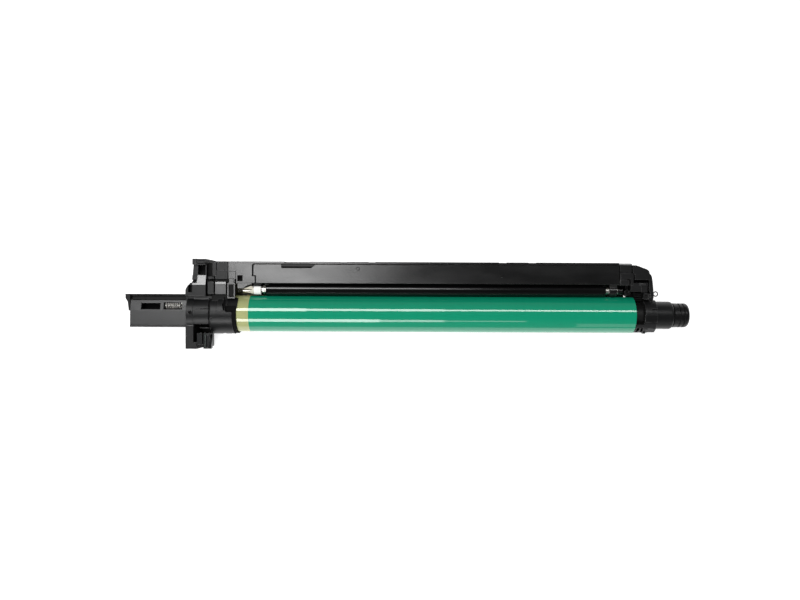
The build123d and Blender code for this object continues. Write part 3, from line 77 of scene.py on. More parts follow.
camera = bpy.data.objects.new("camera", bpy.data.cameras.new("camera"))
camera.location = (view["x"], view["y"], view["height"])
camera.rotation_euler = (0, 0, math.radians(view["roll"]))
camera.data.lens = view["lens"]
camera.data.sensor_width = view["sensor"]
camera.data.clip_start = 10 * mm
bpy.context.scene.collection.objects.link(camera)
bpy.context.scene.camera = camera
bpy.context.scene.view_settings.view_transform = "Standard"


# Materials

class Wire:
    # one output of a material's nodes, so that its maths reads as plain sums
    def __init__(self, tree, socket=None):
        self.tree = tree
        self.socket = socket

    def add(self, kind, settings=None, inputs=None, out=0):
        node = self.tree.nodes.new("ShaderNode" + kind)
        for name, value in (settings or {}).items():
            if name == "stops":
                self.setStops(node.color_ramp, value)
            else:
                setattr(node, name, value)
        for name, value in (inputs or {}).items():
            if isinstance(value, Wire):
                self.tree.links.new(value.socket, node.inputs[name])
            else:
                node.inputs[name].default_value = value
        return Wire(self.tree, node.outputs[out])

    def setStops(self, ramp, stops):
        while len(ramp.elements) < len(stops):
            ramp.elements.new(0.5)
        for element, (place, colour) in zip(ramp.elements, stops):
            element.position = place
            element.color = colour

    def maths(self, operation, first, second=0.0):
        return self.add("Math", {"operation": operation}, {0: first, 1: second})

    def __add__(self, other):
        return self.maths("ADD", self, other)

    def __radd__(self, other):
        return self.maths("ADD", other, self)

    def __sub__(self, other):
        return self.maths("SUBTRACT", self, other)

    def __rsub__(self, other):
        return self.maths("SUBTRACT", other, self)

    def __mul__(self, other):
        return self.maths("MULTIPLY", self, other)

    def __rmul__(self, other):
        return self.maths("MULTIPLY", other, self)

    def clipped(self):
        return self.add("Clamp", None, {0: self})

    def along(self, axis):
        return self.add("SeparateXYZ", None, {0: self.add("TexCoord", out="Object")}, out=axis)

    def noise(self, size, detail=2.0, stretch=(1, 1, 1)):
        # size is that of one blotch in metres, and a stretch under 1 draws it out along that axis
        spot = self.add("Mapping", None, {"Vector": self.add("TexCoord", out="Object"), "Scale": stretch})
        return self.add("TexNoise", None, {"Vector": spot, "Scale": 1 / size, "Detail": detail})

    def blend(self, amount, low, high):
        # 6, 7 and 2 are the Mix node's colour sockets
        return self.add("Mix", {"data_type": "RGBA"}, {0: amount, 6: low, 7: high}, out=2)

    def shelter(self):
        # how much painted shade a face gets, from 0 in the open to 1 deep in a gap
        return self.add("Attribute", {"attribute_name": "shelter"}, out=2)

    def bump(self, height, depth=1.0):
        # a height that is already in metres has a depth of 1
        return self.add("Bump", None, {"Height": height, "Distance": depth})


def rgb(red, green, blue):
    return (red, green, blue, 1)


def grey(level):
    return rgb(level, level, level)


def finish(name, fixed, varied):
    # fixed values go straight on the shader, varied ones come from nodes
    material = bpy.data.materials.new(name)
    material.use_nodes = True
    shader = material.node_tree.nodes["Principled BSDF"]
    for socket, value in fixed.items():
        shader.inputs[socket].default_value = value
    for socket, wire in varied(Wire(material.node_tree)).items():
        material.node_tree.links.new(wire.socket, shader.inputs[socket])
    return material


moulded = {
    # what a moulded finish has where its own row in plastics says nothing else, the painted shade in gaps and
    # recesses among it
    "gloss": 0.5, "toner": (0.0012, 0.0012, 0.0012), "tonerRough": 0.35,
    "grain": 0.3 * mm, "grainDepth": 0.006 * mm, "grainRough": 0.08,
    "sink": 9 * mm, "sinkDepth": 0.02 * mm,
    "smear": 0.4, "smearSize": 14 * mm, "smearStretch": (0.35, 1, 1), "smearFrom": 0.42, "smearRough": 0.14,
    "dust": 0.2, "dustSize": 0.7 * mm, "dustFrom": 0.7, "dustEdge": 8,
}
plastics = {
    # colour is that of the clean plastic, worn that of its smears and dust
    "cover": {"colour": (0.0026, 0.0027, 0.0028), "worn": (0.02, 0.02, 0.0195), "roughness": 0.235,
              "grain": 0.25 * mm},
    # the two edge finishes go on the rounded edges, lighter partly as wear and partly as a painted highlight
    # along them
    "coverEdgeWearAndSheen": {"colour": (0.008, 0.008, 0.008), "worn": (0.04, 0.04, 0.039), "roughness": 0.28,
                  "grain": 0.25 * mm, "grainDepth": 0.004 * mm, "sinkDepth": 0.01 * mm, "smear": 0.8,
                  "dust": 0.3},
    "cap": {"colour": (0.0045, 0.0047, 0.005), "worn": (0.024, 0.024, 0.024), "roughness": 0.36,
            "gloss": 0.22, "grainDepth": 0.01 * mm},
    "capEdgeWearAndSheen": {"colour": (0.013, 0.013, 0.0135), "worn": (0.06, 0.06, 0.06), "roughness": 0.3,
                "gloss": 0.6, "sinkDepth": 0.01 * mm, "smear": 0.8, "dust": 0.3},
    "duct": {"colour": (0.012, 0.0124, 0.013), "worn": (0.04, 0.04, 0.04), "roughness": 0.38,
             "grainDepth": 0.01 * mm},
    # the two pad finishes are lighter, glossier copies of the cap plastic, a painted highlight on faces that
    # face the lights
    "padHighlight": {"colour": (0.03, 0.03, 0.031), "worn": (0.06, 0.06, 0.06), "roughness": 0.22,
            "gloss": 0.8, "grainDepth": 0.004 * mm, "sinkDepth": 0.01 * mm},
    "coupling": {"colour": (0.0022, 0.0022, 0.0024), "worn": (0.014, 0.014, 0.014), "roughness": 0.34,
                 "gloss": 0.3, "sinkDepth": 0.01 * mm, "smear": 0.5, "dust": 0.3},
    "padFlatHighlight": {"colour": (0.012, 0.012, 0.0125), "worn": (0.04, 0.04, 0.04), "roughness": 0.36,
                "gloss": 0.6, "grainDepth": 0.008 * mm, "sinkDepth": 0.01 * mm},
    "chip": {"colour": (0.0022, 0.0028, 0.0036), "worn": (0.012, 0.014, 0.016), "roughness": 0.34,
             "gloss": 0.16},
    "gloss": {"colour": (0.004, 0.004, 0.0042), "worn": (0.02, 0.02, 0.02), "roughness": 0.24,
              "grain": 0.4 * mm, "grainDepth": 0.003 * mm, "dust": 0.15},
    "gear": {"colour": (0.002, 0.002, 0.0021), "worn": (0.02, 0.019, 0.018), "roughness": 0.5,
             "gloss": 0.2, "sinkDepth": 0.01 * mm, "smear": 0.6, "dust": 0.3},
    "white": {"colour": (0.72, 0.715, 0.69), "worn": (0.4, 0.39, 0.36), "roughness": 0.4,
              "grainDepth": 0.005 * mm, "smear": 0.6, "dust": 0.4},
    # the cream plastic's painted shade in its gaps is a dark brown
    "cream": {"colour": (0.52, 0.49, 0.4), "worn": (0.17, 0.16, 0.13), "roughness": 0.36,
              "grainDepth": 0.005 * mm, "smear": 0.8, "dust": 0.6, "toner": (0.05, 0.04, 0.03)},
}


def mouldedPlastic(name, look):
    def varied(wire):
        grain = wire.noise(look["grain"], 3)
        sink = wire.noise(look["sink"], 2)
        smear = wire.noise(look["smearSize"], 3, look["smearStretch"])
        dust = wire.noise(look["dustSize"], 4)
        speck = ((dust - look["dustFrom"]) * look["dustEdge"]).clipped()
        tone = (smear - look["smearFrom"]) * look["smear"] + speck * look["dust"]
        # painted shade: faces in gaps and recesses are darkened towards a near-black colour and made rougher
        toner = wire.shelter()
        plastic = wire.blend(tone.clipped(), rgb(*look["colour"]), rgb(*look["worn"]))
        rough = (smear - 0.5) * look["smearRough"] + (grain - 0.5) * look["grainRough"] + look["roughness"]
        return {"Base Color": wire.blend(toner, plastic, rgb(*look["toner"])),
                "Roughness": rough + toner * look["tonerRough"],
                "Normal": wire.bump(grain * look["grainDepth"] + sink * look["sinkDepth"])}
    return finish(name, {"Specular IOR Level": look["gloss"]}, varied)


coating = {
    # bandEnd is how far along X the uncoated band at the drum's front end reaches
    "green": (0.004, 0.31, 0.165), "deep": (0.003, 0.27, 0.148), "band": (0.42, 0.44, 0.2),
    "bandEnd": -333.6 * mm, "bandBlur": 0.25 * mm,
    "ringSize": 3 * mm, "ringStretch": (1, 0.04, 0.04), "ringShare": 0.7,
    "hazeSize": 30 * mm, "hazeShare": 0.3, "hazeRough": 0.06, "roughness": 0.45,
    "shader": {"Coat Weight": 1.0, "Coat Roughness": 0.03, "Coat IOR": 1.6, "IOR": 1.45,
               "Specular IOR Level": 0.08},
}


def drumCoating():
    look = coating

    def varied(wire):
        inBand = (1 - (wire.along("X") - look["bandEnd"]) * (1 / look["bandBlur"])).clipped()
        rings = wire.noise(look["ringSize"], 2, look["ringStretch"])
        haze = wire.noise(look["hazeSize"], 3)
        depth = rings * look["ringShare"] + haze * look["hazeShare"]
        green = wire.blend(depth, rgb(*look["green"]), rgb(*look["deep"]))
        return {"Base Color": wire.blend(inBand, green, rgb(*look["band"])),
                "Roughness": haze * look["hazeRough"] + look["roughness"]}
    return finish("drumCoating", look["shader"], varied)


metal = {
    # what all the metal finishes share: fine rings left by the lathe, and wide dull stains
    "ringSize": 0.25 * mm, "ringStretch": (1, 0.05, 0.05), "ringRough": 0.12, "ringDepth": 0.006 * mm,
    "stainSize": 6 * mm, "stainRough": 0.1, "dull": (0.72, 0.7, 0.66), "darkEnd": (0.03, 0.03, 0.03),
    "darkEndSpread": 4,
}
metals = {
    "steel": {"colour": (0.5, 0.49, 0.47), "roughness": 0.22},
    "rollerSteel": {"colour": (0.5, 0.49, 0.47), "roughness": 0.22, "darkensFrom": -31.0 * mm},
    "darkSteel": {"colour": (0.07, 0.07, 0.068), "roughness": 0.34},
    "spring": {"colour": (0.8, 0.79, 0.77), "roughness": 0.3},
}


def turnedSteel(name, look):
    def varied(wire):
        rings = wire.noise(look["ringSize"], 2, look["ringStretch"])
        stain = wire.noise(look["stainSize"], 3)
        dull = [part * share for part, share in zip(look["colour"], look["dull"])]
        steel = wire.blend(stain, rgb(*look["colour"]), rgb(*dull))
        # the shaft's steel turns dark from the given point along X towards its rear end
        if "darkensFrom" in look:
            edge = (wire.along("X") - look["darkensFrom"]) * (1 / mm)
            darkEnd = (edge + (stain - 0.5) * look["darkEndSpread"]).clipped()
            steel = wire.blend(darkEnd, steel, rgb(*look["darkEnd"]))
        return {"Base Color": steel,
                "Roughness": rings * look["ringRough"] + stain * look["stainRough"] + look["roughness"],
                "Normal": wire.bump(rings, look["ringDepth"])}
    return finish(name, {"Metallic": 1.0}, varied)


soft = {
    # what rubber, foam, felt, film and the board share: smears along them, and paler pores
    "gloss": 0.5, "smearSize": 12 * mm, "smearStretch": (0.2, 1, 1), "smearRough": 0.14,
    "smearShare": 0.5, "poreShare": 0.3, "paler": 1.7, "palerBy": 0.002,
}
softs = {
    # pore and depth are the size and depth of one pore
    "rubber": {"colour": (0.004, 0.004, 0.0042), "roughness": 0.2, "pore": 0.5 * mm, "depth": 0.004 * mm},
    "foam": {"colour": (0.008, 0.008, 0.0085), "roughness": 0.9, "pore": 0.5 * mm, "depth": 0.25 * mm},
    # the felt ring also lies under the collar's opening, a dark sheet standing in for the shade in there as
    # well as sealing the drum's end
    "felt": {"colour": (0.0022, 0.0022, 0.0022), "roughness": 0.95, "pore": 0.3 * mm, "depth": 0.2 * mm,
             "gloss": 0.12},
    "blade": {"colour": (0.42, 0.27, 0.1), "roughness": 0.35, "pore": 0.8 * mm, "depth": 0.004 * mm},
    "film": {"colour": (0.5, 0.52, 0.53), "roughness": 0.16, "pore": 2 * mm, "depth": 0.002 * mm},
    "board": {"colour": (0.003, 0.01, 0.008), "roughness": 0.3, "pore": 0.4 * mm, "depth": 0.01 * mm},
}


def softSurface(name, look):
    def varied(wire):
        pores = wire.noise(look["pore"], 3)
        smear = wire.noise(look["smearSize"], 3, look["smearStretch"])
        pale = [min(1.0, part * look["paler"] + look["palerBy"]) for part in look["colour"]]
        amount = smear * look["smearShare"] + pores * look["poreShare"]
        return {"Base Color": wire.blend(amount, rgb(*look["colour"]), rgb(*pale)),
                "Roughness": (smear - 0.5) * look["smearRough"] + look["roughness"],
                "Normal": wire.bump(pores, look["depth"])}
    return finish(name, {"Specular IOR Level": look["gloss"]}, varied)


paper = {
    # the pale floor under the unit, so wide that it fills every view
    "reach": 4, "x": -0.21, "below": 0.02 * mm, "pale": 0.6, "dim": 0.58, "blotch": 0.4,
    "shader": {"Roughness": 0.9, "Specular IOR Level": 0.1, "Emission Color": grey(1),
               "Emission Strength": 0.74},
}


def paleFloor():
    def varied(wire):
        mottle = wire.noise(paper["blotch"])
        return {"Base Color": wire.blend(mottle, grey(paper["pale"]), grey(paper["dim"]))}
    return finish("floor", paper["shader"], varied)


materials = {name: mouldedPlastic(name, {**moulded, **look}) for name, look in plastics.items()}
materials["drum"] = drumCoating()
for name, look in metals.items():
    materials[name] = turnedSteel(name, {**metal, **look})
for name, look in softs.items():
    materials[name] = softSurface(name, {**soft, **look})
materials["floor"] = paleFloor()
print("materials made")


# Floor, light and sky

def addFloor():
    work = bmesh.new()
    bmesh.ops.create_grid(work, x_segments=1, y_segments=1, size=paper["reach"])
    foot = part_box("cleaner_housing")[0].z
    bmesh.ops.translate(work, verts=work.verts, vec=(paper["x"], 0, foot - paper["below"]))
    mesh = bpy.data.meshes.new("floor")
    work.to_mesh(mesh)
    work.free()
    floor = bpy.data.objects.new("floor", mesh)
    mesh.materials.append(materials["floor"])
    bpy.context.scene.collection.objects.link(floor)


drumOnly = ("drum_tube",)
rollerOnly = ("charge_roller_rubber",)
lights = {
    # metres, and radiance is what the strip looks like from the object
    "backLeft": {"from": (-0.62, 0.56, 1.17), "long": 0.36, "wide": 0.42, "radiance": 12.0},
    "backMiddle": {"from": (-0.27, 0.56, 1.17), "long": 0.34, "wide": 0.3, "radiance": 10.0},
    "backRight": {"from": (0.18, 0.56, 1.17), "long": 0.56, "wide": 0.2, "radiance": 10.0,
                  "skips": rollerOnly},
    "frontLeft": {"from": (-0.6, -0.887, 0.951), "long": 0.68, "wide": 0.42, "radiance": 10.0,
                  "skips": rollerOnly},
    "frontMiddle": {"from": (-0.18, -0.887, 0.951), "long": 0.16, "wide": 0.3, "radiance": 6.0,
                    "skips": rollerOnly},
    "frontRight": {"from": (0.0, -0.887, 0.951), "long": 0.2, "wide": 0.16, "radiance": 2.5,
                   "skips": rollerOnly},
    "frontCard": {"from": (0.8, -1.1, 0.42), "long": 1.2, "wide": 0.5, "radiance": 0.9,
                  "skips": rollerOnly},
    "topStrip": {"from": (-0.53, 0.13, 1.5), "long": 0.4, "wide": 0.3, "radiance": 13.0, "down": True,
                 "skips": drumOnly + rollerOnly},
    "ductStrip": {"from": (-1.0, -0.06, 1.5), "long": 0.3, "wide": 0.2, "radiance": 4.8, "down": True,
                  "skips": drumOnly},
}


def addLights():
    for name, setup in lights.items():
        lamp = bpy.data.lights.new(name, "AREA")
        lamp.shape = "RECTANGLE"
        lamp.size = setup["long"]
        lamp.size_y = setup["wide"]
        lamp.energy = setup["radiance"] * math.pi * setup["long"] * setup["wide"]
        lightObject = bpy.data.objects.new(name, lamp)
        lightObject.location = setup["from"]
        across = 0.0 if setup.get("down") else math.atan2(setup["from"][1], setup["from"][2])
        lightObject.rotation_euler = (-across, 0, 0)
        bpy.context.scene.collection.objects.link(lightObject)
        setup["object"] = lightObject


def keepStripsOff(sleeves):
    # a glossy sleeve would mirror these strips as lines that the real one doesn't show
    for name, setup in lights.items():
        if "skips" not in setup:
            continue
        receivers = bpy.data.collections.new(name + " skips")
        setup["object"].light_linking.receiver_collection = receivers
        for node in setup["skips"]:
            receivers.objects.link(sleeves[node])
        for entry in receivers.collection_objects:
            entry.light_linking.link_state = "EXCLUDE"


# from the horizon to overhead: pale walls and a dark ceiling
sky = [(0.0, grey(0.26)), (0.5, grey(0.16)), (0.82, grey(0.05)), (0.95, grey(0.03))]


def addSky():
    world = bpy.data.worlds.new("room")
    bpy.context.scene.world = world
    world.use_nodes = True
    wire = Wire(world.node_tree)
    up = wire.add("SeparateXYZ", None, {0: wire.add("TexCoord", out="Generated")}, out="Z")
    ramp = wire.add("ValToRGB", {"stops": sky}, {0: up})
    world.node_tree.links.new(ramp.socket, world.node_tree.nodes["Background"].inputs["Color"])


addFloor()
addLights()
addSky()
print("camera, floor and light set")


# What every piece needs

def place(piece, node):
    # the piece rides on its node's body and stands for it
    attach(piece, frame["nodes"][node]["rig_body"])
    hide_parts(node)


def smoothed(mesh, sharp):
    mesh.shade_smooth()
    mesh.set_sharp_from_angle(angle=math.radians(sharp))


def levelNormals(piece):
    weighted = piece.modifiers.new("flats", "WEIGHTED_NORMAL")
    weighted.keep_sharp = True


def insideBox(point, low, high):
    return all(a * mm <= value <= b * mm for value, a, b in zip(point, low, high))


# Painted shade in the gaps

paintedShadeRays = {"reach": 22 * mm, "lift": 0.03 * mm, "spots": 4, "rays": 14, "open": 0.52, "closed": 0.28}
goldenAngle = 2.399963


def everythingTree():
    # all the solids as one ray target
    verts, faces = [], []
    for node in frame["nodes"].values():
        start = len(verts)
        verts += [vert.co for vert in node.data.vertices]
        faces += [tuple(start + number for number in face.vertices) for face in node.data.polygons]
    return BVHTree.FromPolygons(verts, faces)


def rayFan(count):
    # directions round +Z, denser near it, the same each run
    rays = []
    for number in range(count):
        lift = math.sqrt((number + 0.5) / count)
        turn = number * goldenAngle
        rays.append(Vector((lift * math.cos(turn), lift * math.sin(turn), math.sqrt(1 - lift * lift))))
    return rays


fan = rayFan(paintedShadeRays["rays"])
solidsTree = everythingTree()


def clearRays(start, turn):
    hits = [solidsTree.ray_cast(start, turn @ ray, paintedShadeRays["reach"])[0] for ray in fan]
    return hits.count(None)


def markPaintedShade(mesh):
    # each face's share of blocked rays, kept as the attribute that the materials read as painted shade
    mesh.calc_loop_triangles()
    spots = [[] for face in mesh.polygons]
    for triangle in mesh.loop_triangles:
        corners = [mesh.vertices[number].co for number in triangle.vertices]
        spots[triangle.polygon_index].append((triangle.area, (corners[0] + corners[1] + corners[2]) / 3))
    shelter = mesh.attributes.new("shelter", "FLOAT", "FACE")
    for face, places in zip(mesh.polygons, spots):
        places = sorted(places, key=lambda spot: -spot[0])[:paintedShadeRays["spots"]]
        turn = Vector((0, 0, 1)).rotation_difference(face.normal).to_matrix()
        share, total = 0.0, 0.0
        for area, middle in places:
            share += area * clearRays(middle + face.normal * paintedShadeRays["lift"], turn) / len(fan)
            total += area
        openness = share / total if total else 1.0
        amount = (paintedShadeRays["open"] - openness) / (paintedShadeRays["open"] - paintedShadeRays["closed"])
        shelter.data[face.index].value = min(1.0, max(0.0, amount))


paintedHighlightFaces = {
    # upward faces given a lighter, glossier copy of their plastic as a painted highlight, with no painted
    # shade: lowest and highest corner in mm, least and most slope to the back, finish
    "front_end_cap": [((-377, 22, 12), (-366, 34, 15.3), 0.2, 0.3, "padHighlight")],
    "front_side_frame": [((-362, 17.5, 14.6), (-350.2, 27.5, 15.4), 0.1, 0.4, "padHighlight"),
                         ((-362, 17.5, 14.6), (-350.2, 27.5, 15.4), -0.01, 0.01, "padFlatHighlight")],
}
paintedShadeBoxes = {
    # upward faces painted fully dark as shade: lowest and highest corner in mm
    "top_cover": [((-332, 20, 12), (-327.5, 46, 12.4))],
    "roller_clip": [((-342, 19, 6.7), (-331.7, 20, 7.1))],
    "cleaner_housing": [((-336, 18, 11.3), (-20, 45, 11.5))],
    "discharge_duct": [((-440, 9.5, -3), (-380, 20, 4.3))],
    "discharge_shutter": [((-430, -20, -20), (-380, 20, 8))],
    "front_side_frame": [((-349.5, 16, 12.8), (-344, 25, 13.6)), ((-354.3, 1.7, 12.5), (-343, 12.7, 15.3)),
                         ((-364, 13, 12.6), (-350, 17.6, 13.4))],
    "front_end_cap": [((-372, 12.8, 8.5), (-362, 18, 10.2)), ((-369, 28, 5.4), (-360, 44, 8.2)),
                      ((-383, -3, 15.5), (-378, 3, 16.3))],
}


def upwardFaces(mesh, low, high):
    return [face for face in mesh.polygons if face.normal.z > 0.9 and insideBox(face.center, low, high)]


def markPaintedLight(mesh, node):
    for low, high, least, most, shine in paintedHighlightFaces.get(node, []):
        mesh.materials.append(materials[shine])
        for face in upwardFaces(mesh, low, high):
            if least <= face.normal.y <= most:
                face.material_index = len(mesh.materials) - 1
                mesh.attributes["shelter"].data[face.index].value = 0.0
    for low, high in paintedShadeBoxes.get(node, []):
        for face in upwardFaces(mesh, low, high):
            mesh.attributes["shelter"].data[face.index].value = 1.0


# Small forms cut into the copies of the moulded nodes

carvings = {
    # boxes in mm that are cut out: the collar's stepped opening, seams and grooves
    "front_side_frame": [((-351.6, 1.8, 14.0), (-343.0, 6.4, 20)), ((-354.2, 6.0, 13.2), (-351.5, 12.6, 20))],
    "front_end_cap": [((-365.6, -12, 11.0), (-364.9, 12.8, 19))],
    "top_cover": [((-332, 31, 12.2), (-329.6, 46, 14)), ((-330, 20, 12.2), (-327.6, 31, 14))],
    "roller_clip": [((-342, 19.1, 6.9), (-331.8, 19.9, 9))],
}
padSlope = {"low": (-362, 17.5, 15.0), "high": (-350.2, 27.5, 15.4), "width": 1.8, "edge": 0.2, "drop": 0.5}
holderSide = {"point": (-362.3, -25, 13.5), "outward": (0.972, 0, -0.236)}
doublesWithin = 0.002 * mm
flatWithin = math.radians(0.1)


def mergeDoubles(work):
    bmesh.ops.remove_doubles(work, verts=work.verts, dist=doublesWithin)


def joinFlats(work):
    bmesh.ops.dissolve_limit(work, angle_limit=flatWithin, verts=work.verts, edges=work.edges)


def linked(name, work):
    # a bmesh made into an object of the scene
    mesh = bpy.data.meshes.new(name)
    work.to_mesh(mesh)
    work.free()
    thing = bpy.data.objects.new(name, mesh)
    bpy.context.scene.collection.objects.link(thing)
    return thing


def cutterBox(low, high):
    tool = bmesh.new()
    bmesh.ops.create_cube(tool, size=1.0)
    bmesh.ops.scale(tool, verts=tool.verts, vec=[(b - a) * mm for a, b in zip(low, high)])
    bmesh.ops.translate(tool, verts=tool.verts, vec=[(a + b) / 2 * mm for a, b in zip(low, high)])
    return linked("cutter", tool)


def carved(work, boxes):
    # the copy with small boxes cut out of it
    body = linked("carving", work)
    cutters = [cutterBox(low, high) for low, high in boxes]
    for cutter in cutters:
        cut = body.modifiers.new("cut", "BOOLEAN")
        cut.operation = "DIFFERENCE"
        cut.solver = "EXACT"
        cut.object = cutter
    graph = bpy.context.evaluated_depsgraph_get()
    result = bpy.data.meshes.new_from_object(body.evaluated_get(graph))
    work = bmesh.new()
    work.from_mesh(result)
    for thing in [body] + cutters:
        bpy.data.objects.remove(thing, do_unlink=True)
    mergeDoubles(work)
    joinFlats(work)
    return work


def padTops(work):
    return [face for face in work.faces if face.normal.z > 0.99
            and insideBox(face.calc_center_median(), padSlope["low"], padSlope["high"])]


def slopePads(work):
    # the pads' tops fall away along their back edge
    tops = padTops(work)
    edges = {edge for face in tops for edge in face.edges}
    verts = {vert for face in tops for vert in face.verts}
    back = max(vert.co.y for vert in verts)
    bmesh.ops.bisect_plane(work, geom=tops + list(edges) + list(verts), dist=1e-7, plane_no=(0, 1, 0),
                           plane_co=(0, back - padSlope["width"] * mm, 0))
    for vert in {vert for face in padTops(work) for vert in face.verts}:
        if vert.co.y > back - padSlope["edge"] * mm:
            vert.co.z -= padSlope["drop"] * mm


def slantHolder(work):
    # the holder's open side leans in towards its foot
    everything = work.verts[:] + work.edges[:] + work.faces[:]
    cut = bmesh.ops.bisect_plane(work, geom=everything, dist=1e-6, clear_outer=True,
                                 plane_co=Vector(holderSide["point"]) * mm, plane_no=holderSide["outward"])
    rim = [item for item in cut["geom_cut"] if isinstance(item, bmesh.types.BMEdge)]
    bmesh.ops.triangle_fill(work, edges=rim, use_beauty=True)
    joinFlats(work)
    bmesh.ops.recalc_face_normals(work, faces=work.faces)


# Rounded copies of the moulded nodes

rounding = {
    # room is the share of a gap that one edge may take, and least the smallest rounding that is worth it
    "crease": 30, "sharp": 14, "segments": 2, "room": 0.42, "least": 0.04 * mm, "spacing": 0.8, "look": 2.4,
    "lean": 0.3,
}
# materials that are darkened with painted shade where their faces lie in gaps
takesPaintedShade = ("cover", "cap", "duct", "cream", "white", "gloss", "gear", "chip")


def edgePoints(edges, step):
    points = []
    for edge in edges:
        first, second = (vert.co for vert in edge.verts)
        parts = max(1, int(edge.calc_length() / step))
        points += [(edge, first.lerp(second, part / parts)) for part in range(parts + 1)]
    return points


def roomsToRound(edges, width):
    # how far each sharp edge can be rounded before it meets another one
    points = edgePoints(edges, width * rounding["spacing"])
    tree = KDTree(len(points))
    for number, (edge, point) in enumerate(points):
        tree.insert(point, number)
    tree.balance()
    rooms = {edge: width for edge in edges}
    for edge, point in points:
        for spot, number, gap in tree.find_range(point, width * rounding["look"]):
            other = points[number][0]
            apart = other is not edge and not set(edge.verts) & set(other.verts)
            if apart and gap >= 1e-7:
                rooms[edge] = min(rooms[edge], gap * rounding["room"])
    for edge in edges:
        along = (edge.verts[1].co - edge.verts[0].co).normalized()
        for vert in edge.verts:
            for other in vert.link_edges:
                if other is edge or other not in rooms:
                    continue
                side = other.other_vert(vert).co - vert.co
                lean = along.cross(side.normalized()).length
                if lean > rounding["lean"]:
                    rooms[edge] = min(rooms[edge], side.length * lean * rounding["room"])
    return rooms


def copyOf(node):
    # a copy of the CAD node with its doubles merged, its flats joined and its small forms cut
    work = bmesh.new()
    work.from_mesh(frame["nodes"][node].data)
    mergeDoubles(work)
    joinFlats(work)
    if node in carvings:
        work = carved(work, carvings[node])
    if node == "front_side_frame":
        slopePads(work)
    if node == "chip_holder":
        slantHolder(work)
    return work


def weighEdges(work, width):
    # the bevel takes each creased edge's share of its width from this weight
    weight = work.edges.layers.float.new("bevel_weight_edge")
    creased = [edge for edge in work.edges
               if len(edge.link_faces) == 2 and edge.calc_face_angle(0.0) > math.radians(rounding["crease"])]
    for edge, room in roomsToRound(creased, width).items():
        if room > rounding["least"]:
            edge[weight] = room / width


def roundedCopy(node, width, look, edgeLook):
    work = copyOf(node)
    weighEdges(work, width)
    piece = linked(node + "_shape", work)
    mesh = piece.data
    smoothed(mesh, rounding["sharp"])
    if look in takesPaintedShade:
        markPaintedShade(mesh)
    mesh.materials.append(materials[look])
    if edgeLook:
        mesh.materials.append(materials[edgeLook])
    markPaintedLight(mesh, node)
    bevel = piece.modifiers.new("edges", "BEVEL")
    bevel.affect = "EDGES"
    bevel.limit_method = "WEIGHT"
    bevel.width = width
    bevel.segments = rounding["segments"]
    bevel.profile = 0.5
    bevel.use_clamp_overlap = False
    bevel.material = 1 if edgeLook else -1
    levelNormals(piece)
    place(piece, node)


rounded = [
    # node, rounding in mm, material, material of its edges
    ("cleaner_housing", 0.2, "cover", "coverEdgeWearAndSheen"),
    ("top_cover", 0.25, "cover", "coverEdgeWearAndSheen"),
    ("front_side_frame", 0.2, "cap", "capEdgeWearAndSheen"),
    ("front_end_cap", 0.22, "cap", "capEdgeWearAndSheen"),
    ("chip_holder", 0.18, "chip", "capEdgeWearAndSheen"),
    ("discharge_duct", 0.25, "duct", "capEdgeWearAndSheen"),
    ("discharge_shutter", 0.15, "gear", None),
    ("rear_side_frame", 0.2, "cap", "capEdgeWearAndSheen"),
    ("rear_end_cap", 0.22, "cap", "capEdgeWearAndSheen"),
    ("drum_gear_flange", 0.1, "gear", None),
    ("drum_front_flange", 0.2, "gear", None),
    ("idler_gear", 0.1, "gear", None),
    ("auger_gear", 0.1, "gear", None),
    ("charge_bearing_front", 0.2, "white", None),
    ("charge_bearing_rear", 0.2, "gloss", None),
    ("roller_clip", 0.2, "cream", None),
    ("drive_coupling", 0.2, "coupling", "gear"),
    ("blade_bracket", 0.15, "steel", None),
    ("cap_screws", 0.15, "steel", None),
    ("blade_screws", 0.15, "steel", None),
    ("memory_board", 0.08, "board", None),
    ("cleaning_blade", 0.1, "blade", None),
    ("end_seal_front", 0.2, "foam", None),
    ("end_seal_rear", 0.2, "foam", None),
    ("front_felt_ring", 0.1, "felt", None),
    ("drum_pin", 0.15, "steel", None),
    ("rear_bush", 0.15, "white", None),
]
for node, width, look, edgeLook in rounded:
    roundedCopy(node, width * mm, look, edgeLook)
print("moulded pieces rounded")


# Turned pieces, each spun from its half section about its own axis

turned = {
    # easing is how far the corners of the section are rounded
    "drum_tube": {"wall": 0.8 * mm, "easing": 0.15 * mm, "look": "drum", "steps": 256},
    "charge_roller_rubber": {"wall": 2.0 * mm, "easing": 0.5 * mm, "look": "rubber", "steps": 96},
    "cleaning_roller_foam": {"wall": 1.4 * mm, "easing": 0.4 * mm, "look": "foam", "steps": 64},
}
innerEasing = 0.4
cornerSag = 0.3
turnedSharp = 35


def newPiece(name, work, look):
    bmesh.ops.recalc_face_normals(work, faces=work.faces)
    piece = linked(name, work)
    smoothed(piece.data, turnedSharp)
    piece.data.materials.append(materials[look])
    levelNormals(piece)
    return piece


def spun(section, axis, steps):
    # a closed section of (along the axis, radius) points, turned a full round about a line along X
    work = bmesh.new()
    verts = [work.verts.new((x, axis[0] + radius, axis[1])) for x, radius in section]
    edges = [work.edges.new((verts[number - 1], verts[number])) for number in range(len(verts))]
    bmesh.ops.spin(work, geom=verts + edges, cent=(0, *axis), axis=(1, 0, 0), angle=2 * math.pi, steps=steps,
                   use_merge=True)
    bmesh.ops.remove_doubles(work, verts=work.verts, dist=0.001 * mm)
    return work


